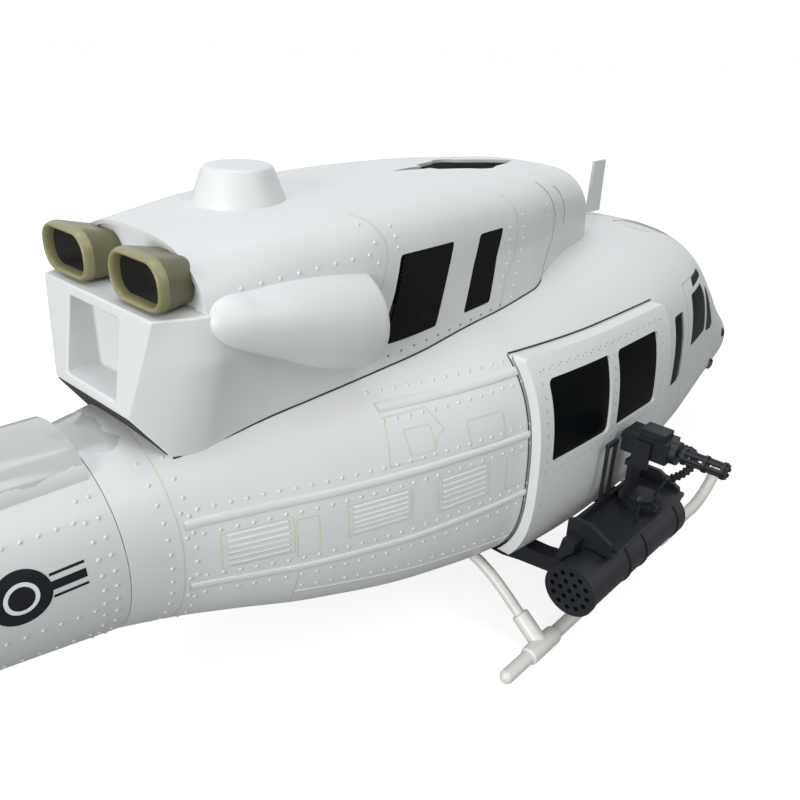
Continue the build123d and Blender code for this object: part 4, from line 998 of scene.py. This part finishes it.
class HELI_OT_trim(bpy.types.Operator):
    """Rails, louvres, panel lines, seams and rivets"""
    bl_idname = "heli.trim"
    bl_label = "Skin trim"

    def execute(self, context):
        sizes, paint = context.scene.heli_sizes, finishes()
        rails, ribs, lines, seams, shadow, centres, normals, flange = [], [], [], [], [], [], [], []
        rail_w, rail_h = [-1.8, -1.65, -1.2, 1.2, 1.65, 1.8], [-0.4, 0.2, 0.65, 0.65, 0.2, -0.4]
        rib_w, rib_h = [-0.6, -0.3, 0.3, 0.6], [-0.2, 0.38, 0.38, -0.2]
        line_w, line_h = [-0.22, 0.22], [0.06, 0.06]
        seam_w, seam_h = [-0.3, 0.3], [0.05, 0.05]

        def rivets(points, side, table=HULL, body_y=None):
            c, n = side_rivets(points, side, table, body_y)
            centres.append(c)
            normals.append(n)

        louvres = [(-14, 10, 96.5, 112), (33, 59, 97, 111), (73.5, 99, 95, 111)]
        boxes = [(12, 20.5, 93.5, 110.5), (110, 124, 93.5, 110)]
        band = np.stack([ring_points(HULL, x, -0.06, 240) for x in (-28.25, -27.75)])
        lines.append((band.reshape(-1, 3), [tuple(q) for q in grid_faces(2, 240, True).tolist()]))
        for side in (-1, 1):
            # shadow line where the cowling and the box meet the hull
            level = np.linspace(134, 174, 400)
            foot = []
            for x in np.linspace(-20.5, 178, 110):
                wide = cowl_y(np.full(400, max(x, -10.0)), level, 0) - 0.2 * max(-10.0 - x, 0)
                clear = side_y(HULL, np.full(400, x), level) - wide
                k = int(np.argmax(clear < 0))
                foot.append((x, side * (wide[k] + 0.05), level[k]))
            shadow.append(tube_arrays(np.array(foot), 0.42, 8))
            # painted shade: dark strips along the sliding door's front and top edges stand for the shadow in the gap
            for points in ([(DOOR[0] - 0.7, DOOR[2]), (DOOR[0] - 0.7, DOOR[3])],
                           [(DOOR[0], DOOR[3] + 0.3), (DOOR[1], DOOR[3] + 0.3)]):
                x, z = path_points(points, 2)
                shadow.append(surface_strip(x, z, side, HULL, [-0.35, 0.35], [0.12, 0.12]))
            for points in ([(-26, 118.5), (125, 117)], [(-26, 91), (10, 88), (60, 86.5), (125, 87)],
                           [(56, 143), (88, 143.3), (125, 144.8)]):
                x, z = path_points(points, 3)
                rails.append(surface_strip(x, z, side, HULL, rail_w, rail_h))
                for shift in (-4.6, 4.6):
                    rivets(row_of([(a, b + shift) for a, b in points], sizes.pitch), side)
            x, z = path_points([(14, 72), (60, 66), (122, 61)], 3)
            rails.append(surface_strip(x, z, side, HULL, rib_w, rib_h))
            rivets(row_of([(16, 76), (60, 70), (122, 65)], sizes.pitch), side)
            for x0, x1, z0, z1 in louvres:
                for k in range(6):
                    level = z0 + 1.2 + (z1 - z0 - 2.4) * k / 5
                    x, z = path_points([(x0 + 1, level), (x1 - 1, level)], 3)
                    ribs.append(surface_strip(x, z, side, HULL, rib_w, rib_h))
                frame_line = [(x0 - 1, z0), (x1 + 1, z0), (x1 + 1, z1), (x0 - 1, z1), (x0 - 1, z0)]
                for a, b in zip(frame_line[:-1], frame_line[1:]):
                    x, z = path_points([a, b], 3)
                    lines.append(surface_strip(x, z, side, HULL, line_w, line_h))
            for x0, x1, z0, z1 in boxes + [(91, 110, 119.5, 131.5), (62, 74, 124, 134)]:
                run = [(x0, z0), (x1, z0), (x1, z1), (x0, z1), (x0, z0)]
                for a, b in zip(run[:-1], run[1:]):
                    x, z = path_points([a, b], 2)
                    lines.append(surface_strip(x, z, side, HULL, line_w, line_h))
            run = [(56, 139.5), (75, 140), (80, 130.7), (76, 129), (72, 121.8), (52, 121.9), (56, 139.5)]
            for a, b in zip(run[:-1], run[1:]):
                x, z = path_points([a, b], 2)
                lines.append(surface_strip(x, z, side, HULL, line_w, line_h))
            x, z = path_points([(13, 86), (14, 72), (17, 62), (22, 54)], 2)
            lines.append(surface_strip(x, z, side, HULL, line_w, line_h))
            for x0 in (-32.5, -23.5):
                rivets(row_of([(x0, 66), (x0, 140)], sizes.pitch), side)
            for x0 in (-52, -56.5):
                rivets(row_of([(x0, 74), (x0, 136)], sizes.pitch), side, BOOM)
            for z0, z1 in ((131, 137), (97, 112), (82, 100)):
                rivets(row_of([(-60, z0), (-260, z1)], sizes.pitch), side, BOOM)
            # cowling rows
            rivets(row_of([(4, 200.5), (58, 203.5)], 7.5), side, COWL, cowl_y)
            for line in ([(58, 214), (62, 207), (62, 200)], [(72, 212), (73, 204)], [(60, 187), (65, 170)]):
                rivets(row_of(line, 5.5), side, COWL, cowl_y)
            for line in ([(147, 200), (148, 188), (139, 174)], [(158, 204), (159, 190), (148, 168)],
                         [(185, 204), (190, 190), (176, 172)]):
                rivets(row_of(line, 5.5), side, COWL, cowl_y)
            c, n = side_rivets(row_of([(64, 158), (101, 162), (139, 166.2)], 6.5), side, COWL, cowl_y)
            flange.append((c, n))
            for points, tone in (([(58, 217), (63.4, 214.5), (67, 207.6), (67.2, 202), (64, 192), (60.5, 184)], lines),
                                 ([(146, 214), (151.8, 209), (154, 200), (152.7, 188.6), (143.9, 176.8),
                                   (139.8, 167)], lines),
                                 ([(184, 214), (190.4, 208), (197, 197), (195, 185), (183, 174), (178, 168)], seams),
                                 ([(201, 210), (206, 206), (211, 197), (210, 189.5)], seams)):
                x, z = path_points(points, 1.5)
                tone.append(surface_strip(x, z, side, COWL, seam_w, seam_h, cowl_y))
        v, f = rivet_arrays(np.concatenate([k[0] for k in flange]), np.concatenate([k[1] for k in flange]), 0.7, 0.2)
        mesh_piece("flange_dots", v, f, paint["seam"], "airframe", "body_white", smooth=60)
        for label, parts, finish in (("skin_rails", rails, "body_white"), ("louvre_ribs", ribs, "body_white"),
                                     ("panel_lines", lines, "panel_line"), ("skin_seams", seams, "seam"),
                                     ("shadow_gaps", shadow, "soot_and_shade")):
            v, f = merged(parts)
            mesh_piece(label, v, f, paint[finish], "airframe", "body_white", smooth=60)
        v, f = rivet_arrays(np.concatenate(centres), np.concatenate(normals), sizes.rivet / 2, 0.45)
        mesh_piece("skin_rivets", v, f, paint["body_white"], "airframe", "body_white", smooth=60)
        for side, name in ((-1, "right"), (1, "left")):
            # fine dots round the sliding door and its windows
            edge = rounded_rectangle(DOOR[0] + 5, DOOR[1] - 5, DOOR[2] + 6, DOOR[3] - 5, 6)
            x, z = path_points(np.concatenate([edge, edge[:1]]), 6.0)
            inner = [row_of([(w[0] - 4, w[2] - 4), (w[1] + 4, w[2] - 4), (w[1] + 4, w[3] + 4), (w[0] - 4, w[3] + 4),
                             (w[0] - 4, w[2] - 4)], 6.0) for w in DOOR_WINDOWS]
            points = np.concatenate([np.stack([x, z], 1)] + inner)
            c, n = side_rivets(points, side, HULL, lambda a, b: side_y(HULL, a, b, -5.9))
            v, f = rivet_arrays(c, n, 0.42, 0.12)
            mesh_piece(f"door_dots_{name}", v, f, paint["seam"], f"slide_door_body_{name}", "body_white")
        return {"FINISHED"}


class HELI_OT_marks(bpy.types.Operator):
    """Plain disc and bars on the boom sides"""
    bl_idname = "heli.marks"
    bl_label = "Boom marks"

    def execute(self, context):
        paint = finishes()
        for side, name in ((-1, "right"), (1, "left")):
            t = np.linspace(0, 2 * np.pi, 48, endpoint=False)

            def disc(r0, r1, lift):
                r = np.linspace(r0, r1, 8)
                x = -82 + r[:, None] * np.cos(t)
                z = 115 + r[:, None] * np.sin(t)
                v = np.stack([x, side * (side_y(BOOM, x, z) + lift), z], -1)
                f = grid_faces(8, 48, True)
                return v.reshape(-1, 3), [tuple(q) for q in (f if side > 0 else f[:, ::-1]).tolist()]
            parts = [disc(0.05, 9.7, 0.08)]
            for z0, w in ((119.2, 0.5), (115.2, 1.6), (111.2, 0.5)):
                x, z = path_points([(-72.5, z0), (-61, z0)], 1.5)
                parts.append(surface_strip(x, z, side, BOOM, [-w, w], [0.08, 0.08]))
            v, f = merged(parts)
            mesh_piece(f"boom_mark_{name}", v, f, paint["mark_dark"], "airframe", "body_white", smooth=60)
            v, f = merged([disc(4.2, 5.6, 0.14)])
            mesh_piece(f"boom_mark_ring_{name}", v, f, paint["mark_pale"], "airframe", "body_white", smooth=60)
        return {"FINISHED"}


class HELI_OT_nose(bpy.types.Operator):
    """Dark plugs and a small blade on each side of the nose"""
    bl_idname = "heli.nose"
    bl_label = "Nose fittings"

    def execute(self, context):
        paint = finishes()
        for side, name in ((-1, "right"), (1, "left")):
            c, n = side_rivets([(408, 85), (423, 57)], side, HULL)
            plugs = [rivet_arrays(c[:1], n[:1], 3.6, 1.6), rivet_arrays(c[1:], n[1:], 3.0, 2.2)]
            v, f = merged(plugs)
            mesh_piece(f"nose_plugs_{name}", v, f, paint["charcoal"], "airframe", "charcoal", smooth=60)
            x, z = path_points([(378, 74), (392, 62)], 1.0)
            v, f = surface_strip(x, z, side, HULL, [-1.2, -0.6, 0.6, 1.2], [-0.3, 2.4, 2.4, -0.3])
            mesh_piece(f"nose_blade_{name}", v, f, paint["seam"], "airframe", "body_white", smooth=40)
        return {"FINISHED"}


class HELI_OT_gear(bpy.types.Operator):
    """Skids, cross tubes and their fittings"""
    bl_idname = "heli.gear"
    bl_label = "Landing gear"

    def execute(self, context):
        paint = finishes()
        for node in ("skid_left", "skid_right"):
            smooth_node(node, paint["gear_white"], "gear_white", angle=50)
        # bowed tube: its height eases from the tees at both feet to a level middle inside the hull
        y = np.array([103, 98, 91, 84, 76, 68, 58, 47, 34, 18, 0.0])
        z = np.array([7.4, 11.2, 17.2, 23, 28.9, 33.6, 37, 38.6, 39, 39, 39])
        fine = np.linspace(0, 103, 90)
        height = np.interp(fine, y[::-1], z[::-1])
        height = np.convolve(np.pad(height, 6, mode="edge"), np.ones(13) / 13, "valid")
        half = np.stack([fine, height], 1)
        line = np.concatenate([half[::-1] * [-1, 1], half[1:]])
        tubes, tees = [], []
        for x in (126, 262):
            tubes.append(tube_arrays(np.stack([np.full(len(line), float(x)), line[:, 0], line[:, 1]], 1), 2.8, 28))
            for side in (-1, 1):
                run = np.array([x - 11.5, x - 11, x - 9.5, x + 9.5, x + 11, x + 11.5])
                tees.append(tube_arrays(np.stack([run, np.full(6, side * 107.0), np.full(6, 4.7)], 1),
                                        [3.6, 4.5, 4.7, 4.7, 4.5, 3.6], 32))
                base, tip = np.array([x, side * 106.0, 5.2]), np.array([x, side * 92.5, 16.2])
                share = np.array([0, 0.93, 0.97, 1.0])[:, None]
                tees.append(tube_arrays(base + (tip - base) * share, [4.5, 4.5, 4.3, 3.3], 32))
        for label, parts, node in (("bowed_tubes", tubes, "cross_tubes"), ("tee_fittings", tees, "skid_tees")):
            v, f = merged(parts)
            piece = mesh_piece(label, v, f, paint["gear_white"], "airframe", "gear_white", smooth=50)
            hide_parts(node)
        return {"FINISHED"}


class HELI_OT_stores(bpy.types.Operator):
    """Tube pods, mounts, gun cradles, guns and barrels on both sides"""
    bl_idname = "heli.stores"
    bl_label = "Stores"

    def execute(self, context):
        paint = finishes()
        for name in ("left", "right"):
            for node, bevel in ((f"rocket_pod_{name}", 0), (f"stores_mount_{name}", 0.3), (f"gun_cradle_{name}", 0.25),
                                (f"gun_{name}", 0.4), (f"gun_barrels_{name}", 0)):
                smooth_node(node, paint["charcoal"], "charcoal", bevel=bevel)
            side = 1 if name == "left" else -1
            # feed chute: a flat link belt on a loop from the receiver's flank down beside the post
            path = np.array([(206, 126, 93), (211, 130, 91), (215, 131, 86), (216, 130, 80), (214, 127, 75),
                             (210, 123, 72), (205.5, 119, 71)], float) * [1, side, 1]
            fine = np.linspace(0, 6, 61)
            line = np.stack([np.interp(fine, np.arange(7), path[:, k]) for k in range(3)], 1)
            line = np.stack([np.convolve(np.pad(line[:, k], 4, mode="edge"), np.ones(9) / 9, "valid")
                             for k in range(3)], 1)
            width = 2.1 + 0.35 * np.sign(np.sin(np.arange(61) * np.pi / 2 + 0.3))
            mesh_piece(f"feed_chute_{name}", *tube_arrays(line, width, 10), paint["charcoal"], f"gun_body_{name}",
                       "charcoal", smooth=30)
            rod_line = np.array([(179, 121, 60.2), (178.4, 121, 66), (177.8, 121.2, 72)]) * [1, side, 1]
            knob = np.linspace(0.02, np.pi - 0.02, 12)
            ball = np.stack([177.6 + 0 * knob, side * 121.2 + 0 * knob, 73.4 - 2.1 * np.cos(knob)], 1)
            v, f = merged([tube_arrays(rod_line, 1.0, 14), tube_arrays(ball, 2.1 * np.sin(knob), 18)])
            mesh_piece(f"tray_rod_{name}", v, f, paint["charcoal"], "airframe", "charcoal", smooth=50)
            lugs = [tube_arrays(np.array([(188, side * 124, z), (186, side * 127, z), (184.5, side * 128, z)]), 1.3, 10)
                    for z in (67.0,)]
            v, f = merged(lugs)
            mesh_piece(f"base_lug_{name}", v, f, paint["charcoal"], f"gun_base_{name}", "charcoal", smooth=40)
        return {"FINISHED"}


class HELI_OT_workings(bpy.types.Operator):
    """Finishes of the frame, drive, controls and electrics inside the hull"""
    bl_idname = "heli.workings"
    bl_label = "Workings"

    def execute(self, context):
        paint = finishes()
        for entry in frame["record"]["subparts"]:
            node = frame["nodes"][entry["node"]]
            if node.hide_render:
                continue
            node.data.materials.clear()
            node.data.materials.append(paint[entry["material_slot"]])
        return {"FINISHED"}


class HELI_PT_panel(bpy.types.Panel):
    """Lists the steps that build the helicopter's looks"""
    bl_label = "Helicopter"
    bl_space_type = "VIEW_3D"
    bl_region_type = "UI"
    bl_category = "Helicopter"

    def draw(self, context):
        for step in STEPS:
            self.layout.operator(step.bl_idname)


STEPS = (HELI_OT_stage, HELI_OT_hull, HELI_OT_tail, HELI_OT_cowling, HELI_OT_exhausts, HELI_OT_panes, HELI_OT_doors,
         HELI_OT_trim, HELI_OT_marks, HELI_OT_nose, HELI_OT_gear, HELI_OT_stores, HELI_OT_workings)
CLASSES = (HeliColours, HeliSizes) + STEPS + (HELI_PT_panel,)


def register():
    for item in CLASSES:
        bpy.utils.register_class(item)
    bpy.types.Scene.heli_colours = bpy.props.PointerProperty(type=HeliColours)
    bpy.types.Scene.heli_sizes = bpy.props.PointerProperty(type=HeliSizes)


def unregister():
    del bpy.types.Scene.heli_sizes
    del bpy.types.Scene.heli_colours
    for item in reversed(CLASSES):
        bpy.utils.unregister_class(item)


def main():
    register()
    for step in STEPS:
        group, call = step.bl_idname.split(".")
        getattr(getattr(bpy.ops, group), call)()


if __name__ == "__main__":
    main()
